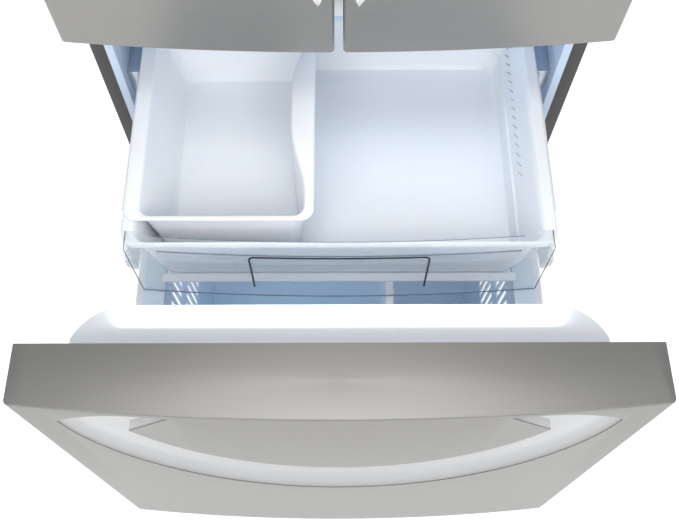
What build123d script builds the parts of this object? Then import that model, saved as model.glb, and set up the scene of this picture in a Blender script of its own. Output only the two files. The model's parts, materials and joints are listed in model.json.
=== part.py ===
"""French door refrigerator with a bottom freezer drawer, as an assembly of separate pieces.

Millimetres, +Z up. The cabinet's front plane is y = 0 while the pieces are drawn, -Y is the
front, and every piece is drawn with the doors and drawers shut. The pieces are written in the
rest pose: doors shut, freezer drawer fully out, upper freezer drawer out with it. The origin is
then moved to the middle of the footprint at floor level.
"""

from build123d import *
import os

# Driving dimensions -------------------------------------------------------------------------

# Whole cabinet
WIDTH = 756.0  # across the doors
CASE_INSET = 2.0  # how far the case side stands back from the door side
CASE_DEPTH = 700.0  # front plane to back panel
CASE_TOP = 1712.0
CASE_BOTTOM = 32.0
SHEET = 1.0  # case steel
FLANGE = 21.0  # steel returned round the front opening
LINER = 1.5  # plastic liner wall
SIDE_WALL = 34.0  # outside of the case to inside of the liner
TOP_WALL = 42.0
BACK_WALL = 80.0
EVAPORATOR_SPACE = 100.0  # from the evaporator cover to the liner's back

# Compartments
FREEZER_FLOOR = 95.0
FREEZER_CEILING = 680.0
FRIDGE_FLOOR = 745.0
MACHINE_DEPTH = 260.0  # front to back of the liner's raised step
MACHINE_TOP = 270.0  # top of the step inside the freezer
STEP_FOAM = 30.0
BASE_PLATE_Z = 60.0
RAIL_DEPTH = 28.0  # front to back of the rail between the compartments
LINER_FLANGE_LOW = 10.0  # height of the liner flanges that the rail meets
LINER_FLANGE_HIGH = 6.0

# Doors and drawer front
DOOR_BOTTOM = 725.0
DOOR_TOP = 1715.0
DOOR_GAP = 12.0  # between the two doors
DRAWER_BOTTOM = 65.0
DRAWER_TOP = 715.0
FRONT_THICK = 73.5  # at the sides, without the seal
BOW = 19.5  # how far the middle of the front stands out
SEAL_GAP = 6.5
SEAL_CLEARANCE = 1.0
DOOR_SHEET = 1.2
DOOR_CORNER = 6.0
PIN_INSET = 16.0  # hinge pin from the side of the door
PIN_Y = -40.0
PIN_R = 5.0
RUNNING = 0.1  # radial clearance of pins and shafts
DIKE_BAR = 24.0
DIKE_DEPTH = 50.0  # how far the door liner's ridge reaches into the cabinet
DIKE_SIDE = 12.0  # from the liner wall to the ridge
DIKE_INNER_X = 50.0

# Drawers
DRAWER_TRAVEL = 511.0
UPPER_TRAVEL = 378.0
RAIL_CLEARANCE = 70.0  # from the rails' rear end to the evaporator cover
RAIL_START = 20.0
LOWER_RAIL_Z = 400.0
UPPER_RAIL_Z = 530.0
TUB_RIM_Z = 590.0
TUB_FLOOR_Z = 470.0
TUB_FRONT = 60.0
TUB_CLEARANCE = 17.0  # from the tub's rear to the evaporator cover
TUB_HALF = 309.0
TUB_RIM = 20.0
TUB_WALL = 3.0
TUB_DRAFT = 21.0  # how far the side walls lean in from the rim to the floor
UPPER_FRONT_INSET = 8.0  # clear front's end from the side of the tub
UPPER_FRONT_BOW = 12.5
UPPER_FRONT_GAP = 22.0  # from the tub's front wall to the middle of the clear front
UPPER_FRONT_THICK = 5.0
UPPER_FRONT_DROP = 6.0  # below the tub's floor
ICE_BIN_SIDE = 3.0  # from the side of the tub to the ice bin
ICE_BIN_X1 = -36.0
ICE_BIN_PROUD = 10.0  # above the tub's rim
ICE_BIN_RIM = 18.0
ICE_BIN_WIDE_RIM = 18.0
BASKET_RIM_Z = 455.0
BASKET_HALF = 304.0
BASKET_FRONT = 66.0
BASKET_CLEARANCE = 16.0  # from the basket's rear to the raised step
BASKET_WALL = 3.0
BASKET_RIM = 32.0
BASKET_DRAFT = 22.0
BASKET_LIFT = 30.0  # from the liner's floor
DIVIDER_X = 78.0

# Handle pockets: half length, half of the straight edge, how far the tips and the bulge
# stand from that edge, and the same for the lip that covers it
DRAWER_POCKET = (333.0, 200.0, 39.0, 352.0)
DRAWER_LIP = (252.0, 189.0, 59.0, 217.0)
DRAWER_POCKET_EDGE = 11.0  # below the top of the drawer front
DOOR_POCKET = (337.0, 290.0, 8.0, 100.0)
DOOR_LIP = (306.0, 280.0, 14.0, 62.0)
DOOR_POCKET_EDGE = 12.0  # from the door's inner edge
DOOR_POCKET_Z = 1142.0
POCKET_DEPTH = 42.0
POCKET_COLLAR = 16.5  # straight part, as deep as the front bows over the mouth
POCKET_SLOPE = {DRAWER_POCKET: 46.0, DOOR_POCKET: 34.5}  # floor's outline inside the mouth's
POCKET_WALL = 2.0
LIP_THICK = 13.0

# Shelves and crispers
SHELF_Z = (1060.0, 1250.0, 1440.0)
SHELF_FRONT = 165.0
SHELF_GLASS = 4.0
DUCT_HALF = 70.0
CRISPER_TOP = 935.0
CRISPER_HALF = 318.0
BIN_Z = (790.0, 1030.0, 1270.0, 1500.0)
BIN_HEIGHT = 105.0
BIN_REACH = 115.0

# Centre flap on the left door, folded back
FLAP_X = -31.0
FLAP_Y = 10.0
FLAP_WIDTH = 66.0
FLAP_THICK = 18.0
FLAP_ROOT = 3.0

# Feet and rollers
LEG_X = 330.0
LEG_Y = 40.0
ROLLER_R = 14.0
FRONT_ROLLER_Y = 110.0
REAR_ROLLER_Y = 640.0
FRONT_ROLLER_LIFT = 2.0
GLAND_X = 300.0
GLAND_Z = 190.0
GLAND_BORE_R = 4.5
GLAND_LENGTH = 12.0

# Derived sizes ------------------------------------------------------------------------------

HALF = WIDTH / 2.0
PIN_X = HALF - PIN_INSET
CASE_HALF = HALF - CASE_INSET
IN_HALF = CASE_HALF - SIDE_WALL  # inside of the liners
OUT_HALF = IN_HALF + LINER
FLANGE_HALF = CASE_HALF - FLANGE
FRIDGE_CEILING = CASE_TOP - TOP_WALL
CAVITY_BACK = CASE_DEPTH - BACK_WALL
LOWER_BACK = CASE_DEPTH - MACHINE_DEPTH
DOOR_BACK = -SEAL_GAP
SIDE_FRONT = DOOR_BACK - FRONT_THICK
CENTRE_FRONT = SIDE_FRONT - BOW
BOW_RADIUS = (HALF**2 + BOW**2) / (2.0 * BOW)
INNER_EDGE = DOOR_GAP / 2.0
FLAP_Z0 = FRIDGE_FLOOR + 14.0
FLAP_Z1 = FRIDGE_CEILING - 14.0
EVAP_COVER_Y = CAVITY_BACK - EVAPORATOR_SPACE
RAIL_LENGTH = EVAP_COVER_Y - RAIL_CLEARANCE - RAIL_START
TUB_REAR = EVAP_COVER_Y - TUB_CLEARANCE
BASKET_REAR = LOWER_BACK - BASKET_CLEARANCE
BASKET_BODY_HALF = BASKET_HALF - BASKET_RIM
BASKET_LOW = FREEZER_FLOOR + BASKET_LIFT
ORIGIN_Y = (CASE_DEPTH + CENTRE_FRONT - DRAWER_TRAVEL) / 2.0

DRAWN_IN = Pos(0.0, -ORIGIN_Y, 0.0)
DRAWER_OUT = Pos(0.0, -DRAWER_TRAVEL, 0.0)
RAILS_OUT = Pos(0.0, -DRAWER_TRAVEL / 2.0, 0.0)
UPPER_OUT = Pos(0.0, -UPPER_TRAVEL, 0.0)


# Small helpers ------------------------------------------------------------------------------


def slab(x0, x1, y0, y1, z0, z1):
    """A box between two corners."""
    centre = Pos((x0 + x1) / 2.0, (y0 + y1) / 2.0, (z0 + z1) / 2.0)
    return centre * Box(abs(x1 - x0), abs(y1 - y0), abs(z1 - z0))


def mirrored(shape):
    """The same shape on the other side of the cabinet's middle."""
    return mirror(shape, about=Plane.YZ)


def pair(shape):
    """A shape and its mirror image, as separate solids."""
    return Compound(children=[*shape.solids(), *mirrored(shape).solids()])


def group(*shapes):
    """Several separate solids as one piece of the assembly."""
    return Compound(children=[solid for shape in shapes for solid in shape.solids()])


def rod(x, y, z0, z1, radius):
    """An upright cylinder."""
    return Pos(x, y, (z0 + z1) / 2.0) * Cylinder(radius, abs(z1 - z0))


def rod_x(x0, x1, y, z, radius):
    """A cylinder along X."""
    return Pos((x0 + x1) / 2.0, y, z) * Rot(0, 90, 0) * Cylinder(radius, abs(x1 - x0))


def rod_y(x, y0, y1, z, radius):
    """A cylinder along Y."""
    return Pos(x, (y0 + y1) / 2.0, z) * Rot(90, 0, 0) * Cylinder(radius, abs(y1 - y0))


def ring(x0, x1, y0, y1, z0, z1, bar):
    """A rectangular frame standing in the XZ plane."""
    outer = slab(x0, x1, y0, y1, z0, z1)
    return outer - slab(x0 + bar, x1 - bar, y0 - 1.0, y1 + 1.0, z0 + bar, z1 - bar)


def open_box(x0, x1, y0, y1, z0, z1, wall):
    """A box open at the top."""
    outer = slab(x0, x1, y0, y1, z0, z1)
    return outer - slab(x0 + wall, x1 - wall, y0 + wall, y1 - wall, z0 + wall, z1 + 1.0)


def tapered(bottom, top, z0, z1):
    """A block whose floor rectangle is smaller than its top one; each is (x0, x1, y0, y1)."""
    faces = []
    for (x0, x1, y0, y1), z in ((bottom, z0), (top, z1)):
        centre = Pos((x0 + x1) / 2.0, (y0 + y1) / 2.0, z)
        faces.append(centre * Rectangle(x1 - x0, y1 - y0))
    return loft(faces)


def save(name, shape):
    """Writes one piece of the assembly."""
    export_step(DRAWN_IN * shape, f"parts/{name}.step")


# Case ---------------------------------------------------------------------------------------


def cabinet_wrapper():
    outer = slab(-CASE_HALF, CASE_HALF, 0, CASE_DEPTH, CASE_BOTTOM, CASE_TOP)
    inner_half = CASE_HALF - SHEET
    inside = slab(-inner_half, inner_half, SHEET, CASE_DEPTH + 1, 0, CASE_TOP - SHEET)
    mouth = slab(-FLANGE_HALF, FLANGE_HALF, -1, SHEET + 1, 0, CASE_TOP - FLANGE)
    return outer - inside - mouth


def rear_panel():
    half = CASE_HALF - SHEET
    bottom = MACHINE_TOP - LINER - STEP_FOAM
    return slab(-half, half, CASE_DEPTH - SHEET, CASE_DEPTH, bottom, CASE_TOP - SHEET)


def fridge_liner():
    walls = slab(
        -OUT_HALF, OUT_HALF, 0, CAVITY_BACK + LINER, FRIDGE_FLOOR - LINER, FRIDGE_CEILING + LINER
    )
    flange = slab(
        -FLANGE_HALF, FLANGE_HALF, 0, LINER, FRIDGE_FLOOR - LINER_FLANGE_HIGH, CASE_TOP - FLANGE
    )
    cavity = slab(-IN_HALF, IN_HALF, -1, CAVITY_BACK, FRIDGE_FLOOR, FRIDGE_CEILING)
    return walls + flange - cavity


def freezer_block(grow):
    """The freezer space with its raised step, larger all round by a wall."""
    half = IN_HALF + grow
    tall = slab(
        -half, half, 0, CAVITY_BACK + grow, MACHINE_TOP - grow, FREEZER_CEILING + grow
    )
    low = slab(-half, half, 0, LOWER_BACK + grow, FREEZER_FLOOR - grow, FREEZER_CEILING)
    return tall + low


def freezer_liner():
    flange = slab(
        -FLANGE_HALF, FLANGE_HALF, 0, LINER, FREEZER_FLOOR - LINER_FLANGE_LOW,
        FREEZER_CEILING + LINER_FLANGE_LOW
    )
    walls = freezer_block(LINER) + flange
    return walls - freezer_block(0.0) - slab(
        -IN_HALF, IN_HALF, -1, 1, FREEZER_FLOOR, FREEZER_CEILING
    )


def cabinet_insulation():
    inner_half = CASE_HALF - SHEET
    back = CASE_DEPTH - SHEET
    top = CASE_TOP - SHEET
    step_low = MACHINE_TOP - LINER - STEP_FOAM
    lower_back = LOWER_BACK + LINER
    cavity_back = CAVITY_BACK + LINER
    floor_low = BASE_PLATE_Z + 2.0
    slabs = []
    for side in (-1, 1):
        x0, x1 = sorted((side * OUT_HALF, side * inner_half))
        slabs.append(slab(x0, x1, LINER, lower_back, floor_low, top))
        slabs.append(slab(x0, x1, lower_back, back, step_low, top))
    half = OUT_HALF
    slabs.append(slab(-half, half, LINER, back, FRIDGE_CEILING + LINER, top))
    slabs.append(
        slab(-half, half, cavity_back, back, MACHINE_TOP - LINER, FRIDGE_CEILING + LINER)
    )
    slabs.append(
        slab(
            -half, half, RAIL_DEPTH, cavity_back, FREEZER_CEILING + LINER, FRIDGE_FLOOR - LINER
        )
    )
    slabs.append(
        slab(-half, half, LINER, lower_back, floor_low, FREEZER_FLOOR - LINER)
    )
    slabs.append(slab(-half, half, lower_back, back, step_low, MACHINE_TOP - LINER))
    slabs.append(
        slab(-half, half, lower_back, lower_back + STEP_FOAM, floor_low, step_low)
    )
    return group(*slabs)


def center_rail():
    low, high = FREEZER_CEILING + LINER_FLANGE_LOW, FRIDGE_FLOOR - LINER_FLANGE_HIGH
    beam = slab(-OUT_HALF, OUT_HALF, 0, RAIL_DEPTH, low, high)
    return beam + slab(-FLANGE_HALF, FLANGE_HALF, 0, LINER, low, high)


# Base ---------------------------------------------------------------------------------------

STEP_WEB_Y = LOWER_BACK + LINER + STEP_FOAM
PAN_SHEET = 2.0
ROLLER_WIDTH = 18.0
ROLLER_EAR = 3.0
ROLLER_AXLE_R = 4.0
LEG_STEM_R = 5.0
LEG_PAD_R = 20.0
LEG_PAD_HEIGHT = 10.0


def roller_fork(y, centre_z, plate_z):
    """Two ears and an axle under a plate, for one roller."""
    reach = ROLLER_WIDTH / 2.0 + 1.0
    ears = []
    for side in (-1, 1):
        x0, x1 = sorted((LEG_X + side * reach, LEG_X + side * (reach + ROLLER_EAR)))
        ears.append(slab(x0, x1, y - 9, y + 9, centre_z - 7, plate_z))
    axle = rod_x(
        LEG_X - reach - ROLLER_EAR, LEG_X + reach + ROLLER_EAR, y, centre_z, ROLLER_AXLE_R
    )
    return ears[0] + ears[1] + axle


def base_frame():
    half = CASE_HALF - SHEET
    floor = slab(-half, half, SHEET, STEP_WEB_Y, BASE_PLATE_Z, BASE_PLATE_Z + PAN_SHEET)
    pan = slab(
        -half, half, STEP_WEB_Y, CASE_DEPTH - SHEET, CASE_BOTTOM, CASE_BOTTOM + PAN_SHEET
    )
    web = slab(
        -half, half, STEP_WEB_Y, STEP_WEB_Y + PAN_SHEET, CASE_BOTTOM,
        MACHINE_TOP - LINER - STEP_FOAM
    )
    body = floor + pan + web
    for side in (-1, 1):
        x0, x1 = sorted((side * half, side * (half - PAN_SHEET)))
        body += slab(x0, x1, SHEET, STEP_WEB_Y, CASE_BOTTOM, BASE_PLATE_Z)
        body += slab(
            x0, x1, STEP_WEB_Y, CASE_DEPTH - SHEET, CASE_BOTTOM,
            MACHINE_TOP - LINER - STEP_FOAM
        )
        body += rod(side * LEG_X, LEG_Y, CASE_BOTTOM, BASE_PLATE_Z, 12.0)
        body -= rod(
            side * LEG_X, LEG_Y, CASE_BOTTOM - 1, BASE_PLATE_Z - 4.0, LEG_STEM_R + RUNNING
        )
    front = roller_fork(FRONT_ROLLER_Y, ROLLER_R + FRONT_ROLLER_LIFT, BASE_PLATE_Z)
    rear = roller_fork(REAR_ROLLER_Y, ROLLER_R, CASE_BOTTOM)
    return body + front + mirrored(front) + rear + mirrored(rear)


def kick_grille():
    top = BASE_PLATE_Z - 2.0
    panel = slab(-CASE_HALF, CASE_HALF, -22, -2, 12, top)
    panel -= slab(-CASE_HALF + 3, CASE_HALF - 3, -19, 0, 15, top + 1)
    pitch = 24.0
    count = int((2 * CASE_HALF - 120) / pitch)
    for i in range(count):
        x = (i - (count - 1) / 2.0) * pitch
        panel -= slab(x - 7, x + 7, -24, -18, 22, top - 10)
    return panel


def roller_pair(y, centre_z):
    wheel = rod_x(
        LEG_X - ROLLER_WIDTH / 2.0, LEG_X + ROLLER_WIDTH / 2.0, y, centre_z, ROLLER_R
    )
    wheel -= rod_x(LEG_X - 20, LEG_X + 20, y, centre_z, ROLLER_AXLE_R + RUNNING)
    return pair(wheel)


def leg():
    pad = rod(LEG_X, LEG_Y, 0, LEG_PAD_HEIGHT, LEG_PAD_R)
    pad = chamfer(pad.edges().group_by(Axis.Z)[-1], 3.0)
    return pad + rod(LEG_X, LEG_Y, LEG_PAD_HEIGHT, BASE_PLATE_Z - 6.0, LEG_STEM_R)


# Machine compartment ------------------------------------------------------------------------

MACHINE_MID_Y = (STEP_WEB_Y + CASE_DEPTH) / 2.0
MACHINE_FLOOR = CASE_BOTTOM + PAN_SHEET
FAN_X = -70.0
FAN_Z = MACHINE_FLOOR + 90.0
FAN_R = 68.0
SHAFT_R = 3.0


def machine_cover():
    half = CASE_HALF - SHEET
    top = MACHINE_TOP - LINER - STEP_FOAM
    cover = slab(-half, half, CASE_DEPTH - SHEET, CASE_DEPTH, CASE_BOTTOM, top)
    for row in range(5):
        z = MACHINE_FLOOR + 36.0 + row * 26.0
        for column in range(-2, 2):
            x = column * 120.0 + 20.0
            cover -= slab(x, x + 90, CASE_DEPTH - 5, CASE_DEPTH + 5, z, z + 8)
    y0 = CASE_DEPTH - GLAND_LENGTH
    cover += rod_y(GLAND_X, y0, CASE_DEPTH, GLAND_Z, GLAND_BORE_R * 2.2)
    return cover - rod_y(GLAND_X, y0 - 1, CASE_DEPTH + 1, GLAND_Z, GLAND_BORE_R)


def compressor():
    x, y = 190.0, MACHINE_MID_Y
    foot = MACHINE_FLOOR
    body = rod(x, y, foot + 12, foot + 130, 72)
    body = fillet(body.edges().group_by(Axis.Z)[-1], 45.0)
    body = fillet(body.edges().group_by(Axis.Z)[0], 20.0)
    plate = slab(x - 95, x + 95, y - 60, y + 60, foot + 10, foot + 14)
    result = body + plate
    for dx in (-80, 80):
        for dy in (-45, 45):
            result += rod(x + dx, y + dy, foot, foot + 10, 11)
    return result + rod_x(x - 110, x - 60, y - 20, foot + 70, 5)


def coil_block(x0, x1, y0, y1, z0, z1, fins, rows, tube_r):
    """A finned coil: thin upright plates on a few straight tubes along X."""
    block = slab(x0, x0 + 1.0, y0, y1, z0, z1)
    pitch = (x1 - x0 - 1.0) / (fins - 1)
    for i in range(1, fins):
        x = x0 + i * pitch
        block += slab(x, x + 1.0, y0, y1, z0, z1)
    for row in range(rows):
        z = z0 + (row + 0.5) * (z1 - z0) / rows
        block += rod_x(x0 - 12, x1 + 12, (y0 + y1) / 2.0, z, tube_r)
    return block


def condenser():
    y0, y1 = STEP_WEB_Y + 30.0, CASE_DEPTH - 30.0
    return coil_block(-340, -170, y0, y1, MACHINE_FLOOR, MACHINE_FLOOR + 150, 18, 4, 4)


def fan_blade(hub_length):
    """A five-bladed fan on the Z axis, centred on the origin."""
    fan = Cylinder(17.0, hub_length)
    for i in range(5):
        blade = Pos(FAN_R / 2.0 + 6.0, 0, 0) * Rot(32, 0, 0) * Box(FAN_R - 12.0, 30.0, 2.0)
        fan += Rot(0, 0, i * 72.0) * blade
    return fan - Cylinder(SHAFT_R + RUNNING, hub_length + 10.0)


def condenser_fan_blade():
    return Pos(FAN_X, MACHINE_MID_Y, FAN_Z) * Rot(0, 90, 0) * fan_blade(24.0)


def condenser_fan_motor():
    x = FAN_X
    y = MACHINE_MID_Y
    motor = rod_x(x + 16, x + 62, y, FAN_Z, 24)
    shaft = rod_x(x - 14, x + 20, y, FAN_Z, SHAFT_R)
    stand = slab(x + 25, x + 55, y - 20, y + 20, MACHINE_FLOOR, FAN_Z)
    return motor + shaft + stand


# Top trim and inside fittings ---------------------------------------------------------------

HINGE_PLATE = 4.0
HINGE_LIFT = 2.0
TOP_PLATE_Z = DOOR_TOP + HINGE_LIFT
LOW_PLATE_Z = (DRAWER_TOP + DOOR_BOTTOM) / 2.0 - HINGE_PLATE / 2.0
PIN_ENGAGE = 22.0


def top_bracket():
    plate = slab(PIN_X - 25, CASE_HALF - 4, PIN_Y - 11, 92, TOP_PLATE_Z, TOP_PLATE_Z + HINGE_PLATE)
    riser = slab(PIN_X - 25, CASE_HALF - 4, 6, 92, CASE_TOP, TOP_PLATE_Z)
    pin = rod(PIN_X, PIN_Y, DOOR_TOP - PIN_ENGAGE, TOP_PLATE_Z, PIN_R)
    return plate + riser + pin


def low_bracket():
    top = LOW_PLATE_Z + HINGE_PLATE
    plate = slab(PIN_X - 22, CASE_HALF, PIN_Y - 11, 0, LOW_PLATE_Z, top)
    upright = slab(PIN_X - 22, CASE_HALF, -4, 0, LOW_PLATE_Z - 8, DOOR_BOTTOM - 1)
    pin = rod(PIN_X, PIN_Y, top, DOOR_BOTTOM + PIN_ENGAGE, PIN_R)
    return plate + upright + pin


def door_hinges():
    brackets = [top_bracket(), low_bracket()]
    return group(*[pair(bracket) for bracket in brackets])


def hinge_covers():
    wall = 2.5
    x0, x1, y0, y1, top = PIN_X - 38, CASE_HALF, PIN_Y - 18, 112, CASE_TOP + 28
    cover = slab(x0, x1, y0, y1, CASE_TOP, top)
    cover = fillet(cover.edges().filter_by(Axis.Z), 10.0)
    cover = chamfer(cover.edges().group_by(Axis.Z)[-1], 5.0)
    cover -= slab(x0 + wall, x1 - wall, y0 + wall, y1 - wall, CASE_TOP - 1, top - wall - 3.0)
    cover -= slab(x0 - 1, x1 + 1, y0 - 1, 2, CASE_TOP - 1, TOP_PLATE_Z - 0.5)
    return pair(cover)


def control_panel():
    y0 = FLAP_Y + FLAP_WIDTH + 40.0
    y1 = y0 + 50.0
    panel = slab(-110, 110, y0, y1, FRIDGE_CEILING - 14, FRIDGE_CEILING)
    panel = chamfer(panel.edges().group_by(Axis.Z)[0], 4.0)
    for i in range(5):
        x = (i - 2) * 36.0
        panel -= rod(x, (y0 + y1) / 2.0, FRIDGE_CEILING - 16, FRIDGE_CEILING - 12.5, 7)
    return panel


def light_lens():
    lens = slab(-150, 150, 200, 330, FRIDGE_CEILING - 12, FRIDGE_CEILING)
    return fillet(lens.edges().group_by(Axis.Z)[0], 8.0)


def air_duct():
    duct = slab(
        -DUCT_HALF, DUCT_HALF, CAVITY_BACK - 22, CAVITY_BACK,
        CRISPER_TOP + 45, FRIDGE_CEILING - 60
    )
    duct = fillet(duct.edges().filter_by(Axis.Z).group_by(Axis.Y)[0], 12.0)
    for z in SHELF_Z:
        duct -= slab(-45, 45, CAVITY_BACK - 25, CAVITY_BACK - 12, z + 50, z + 62)
    return duct


SHELF_SIDE = 8.0
SHELF_REAR = CAVITY_BACK - 34.0
SHELF_RIM = 16.0
LADDER_FRONT = CAVITY_BACK - 12.0


def shelf_halves():
    """The x span of each half-width shelf."""
    return ((-IN_HALF + SHELF_SIDE, -5.0), (5.0, IN_HALF - SHELF_SIDE))


def ladder_places(x0, x1):
    """Where a shelf between two x positions hooks on the back wall, clear of the air duct."""
    inner = DUCT_HALF + 30.0
    return (x0 + 20.0, -inner) if x0 < 0 else (inner, x1 - 20.0)


def shelf_frames():
    pieces = []
    for z in SHELF_Z:
        for x0, x1 in shelf_halves():
            frame = slab(x0, x1, SHELF_FRONT, SHELF_REAR, z - 14, z + SHELF_GLASS + 2)
            rim = SHELF_RIM
            frame -= slab(
                x0 + rim, x1 - rim, SHELF_FRONT + rim, SHELF_REAR - rim, z - 15, z + 20
            )
            ledge = rim - 6.0
            frame -= slab(
                x0 + ledge, x1 - ledge, SHELF_FRONT + ledge, SHELF_REAR - ledge, z, z + 20
            )
            for x in ladder_places(x0, x1):
                frame += slab(x - 3, x + 3, SHELF_REAR - 2, LADDER_FRONT, z - 14, z)
            pieces.append(frame)
    return pieces


def shelf_ladders():
    """Upright slotted rails on the back wall that carry the shelves."""
    rails = []
    for x0, x1 in shelf_halves():
        for x in ladder_places(x0, x1):
            rails.append(
                slab(
                    x - 8, x + 8, LADDER_FRONT, CAVITY_BACK,
                    CRISPER_TOP + 30, FRIDGE_CEILING - 30
                )
            )
    return rails


def shelf_glasses():
    panes = []
    ledge = SHELF_RIM - 6.0 + 0.3
    for z in SHELF_Z:
        for x0, x1 in shelf_halves():
            panes.append(
                slab(
                    x0 + ledge, x1 - ledge, SHELF_FRONT + ledge, SHELF_REAR - ledge,
                    z, z + SHELF_GLASS
                )
            )
    return group(*panes)


COVER_Z = CRISPER_TOP + 5.0
COVER_THICK = 16.0
CRISPER_FLOOR = FRIDGE_FLOOR + 15.0
CRISPER_FRONT = SHELF_FRONT + 5.0
CRISPER_REAR = CAVITY_BACK - 20.0


def crisper_cover():
    """Cover over both crispers, with a central rib that guides them and a slot per slider."""
    cover = slab(
        -IN_HALF, IN_HALF, SHELF_FRONT, CAVITY_BACK, COVER_Z, COVER_Z + COVER_THICK
    )
    for side in (-1, 1):
        x = side * CRISPER_HALF / 2.0
        cover -= slab(x - 45, x + 45, SHELF_FRONT - 1, SHELF_FRONT + 8, COVER_Z + 4, COVER_Z + 12)
    rib = slab(-3, 3, SHELF_FRONT, CAVITY_BACK, FRIDGE_FLOOR, COVER_Z)
    for side in (-1, 1):
        x0, x1 = sorted((side * (CRISPER_HALF + 3.0), side * IN_HALF))
        rib += slab(x0, x1, SHELF_FRONT, CAVITY_BACK, COVER_Z - 30, COVER_Z)
    return cover + rib


def humidity_slider(side):
    x = side * CRISPER_HALF / 2.0
    y = SHELF_FRONT
    tongue = slab(x - 25, x + 25, y + 1, y + 7.5, COVER_Z + 4.4, COVER_Z + 11.6)
    knob = slab(x - 8, x + 8, y - 6, y + 1, COVER_Z + 5, COVER_Z + 11)
    return tongue + knob


def crisper(side):
    x0, x1 = 6.0, CRISPER_HALF
    tub = open_box(x0, x1, CRISPER_FRONT, CRISPER_REAR, CRISPER_FLOOR, CRISPER_TOP, 3.0)
    handle = slab(x0, x1, CRISPER_FRONT - 4, CRISPER_FRONT, CRISPER_FLOOR, CRISPER_TOP)
    handle -= slab(
        (x0 + x1) / 2 - 80, (x0 + x1) / 2 + 80, CRISPER_FRONT - 5, CRISPER_FRONT + 4,
        CRISPER_TOP - 26, CRISPER_TOP - 10
    )
    body = tub + handle - slab(
        (x0 + x1) / 2 - 80, (x0 + x1) / 2 + 80, CRISPER_FRONT - 5, CRISPER_FRONT + 4,
        CRISPER_TOP - 26, CRISPER_TOP - 10
    )
    return body if side > 0 else mirrored(body)


# Freezer fittings ---------------------------------------------------------------------------

EVAP_FAN_Z = FREEZER_CEILING - 90.0
EVAP_FAN_Y = EVAP_COVER_Y + 42.0


def evaporator_cover():
    gap = 1.0
    cover = slab(
        -IN_HALF + gap, IN_HALF - gap, EVAP_COVER_Y, EVAP_COVER_Y + 4,
        MACHINE_TOP + gap, FREEZER_CEILING - gap
    )
    for i in range(-6, 7):
        x = i * 40.0
        for z in (EVAP_FAN_Z + 54, MACHINE_TOP + 14):
            cover -= slab(x - 13, x + 13, EVAP_COVER_Y - 1, EVAP_COVER_Y + 5, z, z + 12)
    return cover


def evaporator():
    coil = coil_block(
        -250, 250, EVAP_COVER_Y + 14, EVAP_COVER_Y + 74,
        MACHINE_TOP + 40, MACHINE_TOP + 190, 26, 4, 4.5
    )
    motor = rod_y(0, EVAP_FAN_Y + 22, CAVITY_BACK, EVAP_FAN_Z, 22)
    shaft = rod_y(0, EVAP_FAN_Y - 12, EVAP_FAN_Y + 24, EVAP_FAN_Z, SHAFT_R)
    return group(coil, motor + shaft)


def evaporator_fan_blade():
    return Pos(0, EVAP_FAN_Y, EVAP_FAN_Z) * Rot(90, 0, 0) * fan_blade(22.0)


ICE_X0 = -240.0
ICE_X1 = -90.0
ICE_Y0 = 150.0
ICE_Y1 = 400.0
ICE_LOW = TUB_RIM_Z + 28.0
ARM_AXLE_Z = ICE_LOW + 30.0
ARM_AXLE_Y = ICE_Y0 + 110.0


def ice_maker():
    body = slab(ICE_X0, ICE_X1, ICE_Y0, ICE_Y1, ICE_LOW, FREEZER_CEILING)
    trough = Pos((ICE_X0 + ICE_X1) / 2.0, 0, FREEZER_CEILING + 22)
    body = chamfer(body.edges().group_by(Axis.Z)[0].filter_by(Axis.Y), 18.0)
    body -= trough * rod_y(0, ICE_Y0 + 30, ICE_Y1 - 20, 0, 62)
    pivot = rod_x(ICE_X1, ICE_X1 + 14, ARM_AXLE_Y, ARM_AXLE_Z, 5)
    return body + pivot


def ice_maker_arm():
    x = ICE_X1 + 8.0
    eye = rod_x(x - 4, x + 4, ARM_AXLE_Y, ARM_AXLE_Z, 9)
    arm = slab(x - 2, x + 2, ICE_Y0 + 20, ARM_AXLE_Y, ARM_AXLE_Z - 3, ARM_AXLE_Z + 3)
    paddle = slab(x - 2, x + 2, ICE_Y0 + 20, ICE_Y0 + 70, ARM_AXLE_Z - 14, ARM_AXLE_Z + 3)
    bore = rod_x(x - 10, x + 10, ARM_AXLE_Y, ARM_AXLE_Z, 5 + RUNNING)
    return eye + arm + paddle - bore


# Rails --------------------------------------------------------------------------------------

MEMBER = 8.0  # thickness of a rail member across the cabinet
MEMBER_STEP = 11.5
TONGUE = 5.0


def rail_member(kind, wall_x, z, y0, y1):
    """One member of a telescoping rail: fixed, middle or runner, with its tongue and groove."""
    if kind == "fixed":
        bar = slab(wall_x - MEMBER, wall_x, y0, y1, z - 20, z + 20)
        return bar - slab(wall_x - MEMBER, wall_x - 3, y0 - 1, y1 + 1, z - 14, z + 14)
    if kind == "middle":
        outer = wall_x - MEMBER - 0.5
        inner = outer - MEMBER_STEP + 0.5
        bar = slab(inner, outer, y0, y1, z - 18, z + 18)
        bar += slab(outer, outer + TONGUE - 0.5, y0, y1, z - 13, z + 13)
        return bar - slab(inner, inner + TONGUE + 0.5, y0 - 1, y1 + 1, z - 11.5, z + 11.5)
    outer = wall_x - MEMBER - MEMBER_STEP - 0.5
    inner = outer - MEMBER_STEP + 0.5
    bar = slab(inner, outer, y0, y1, z - 16, z + 16)
    return bar + slab(outer, outer + TONGUE - 0.5, y0, y1, z - 10.5, z + 10.5)


UPPER_WALL_X = TUB_HALF + MEMBER + MEMBER_STEP + 0.5


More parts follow.
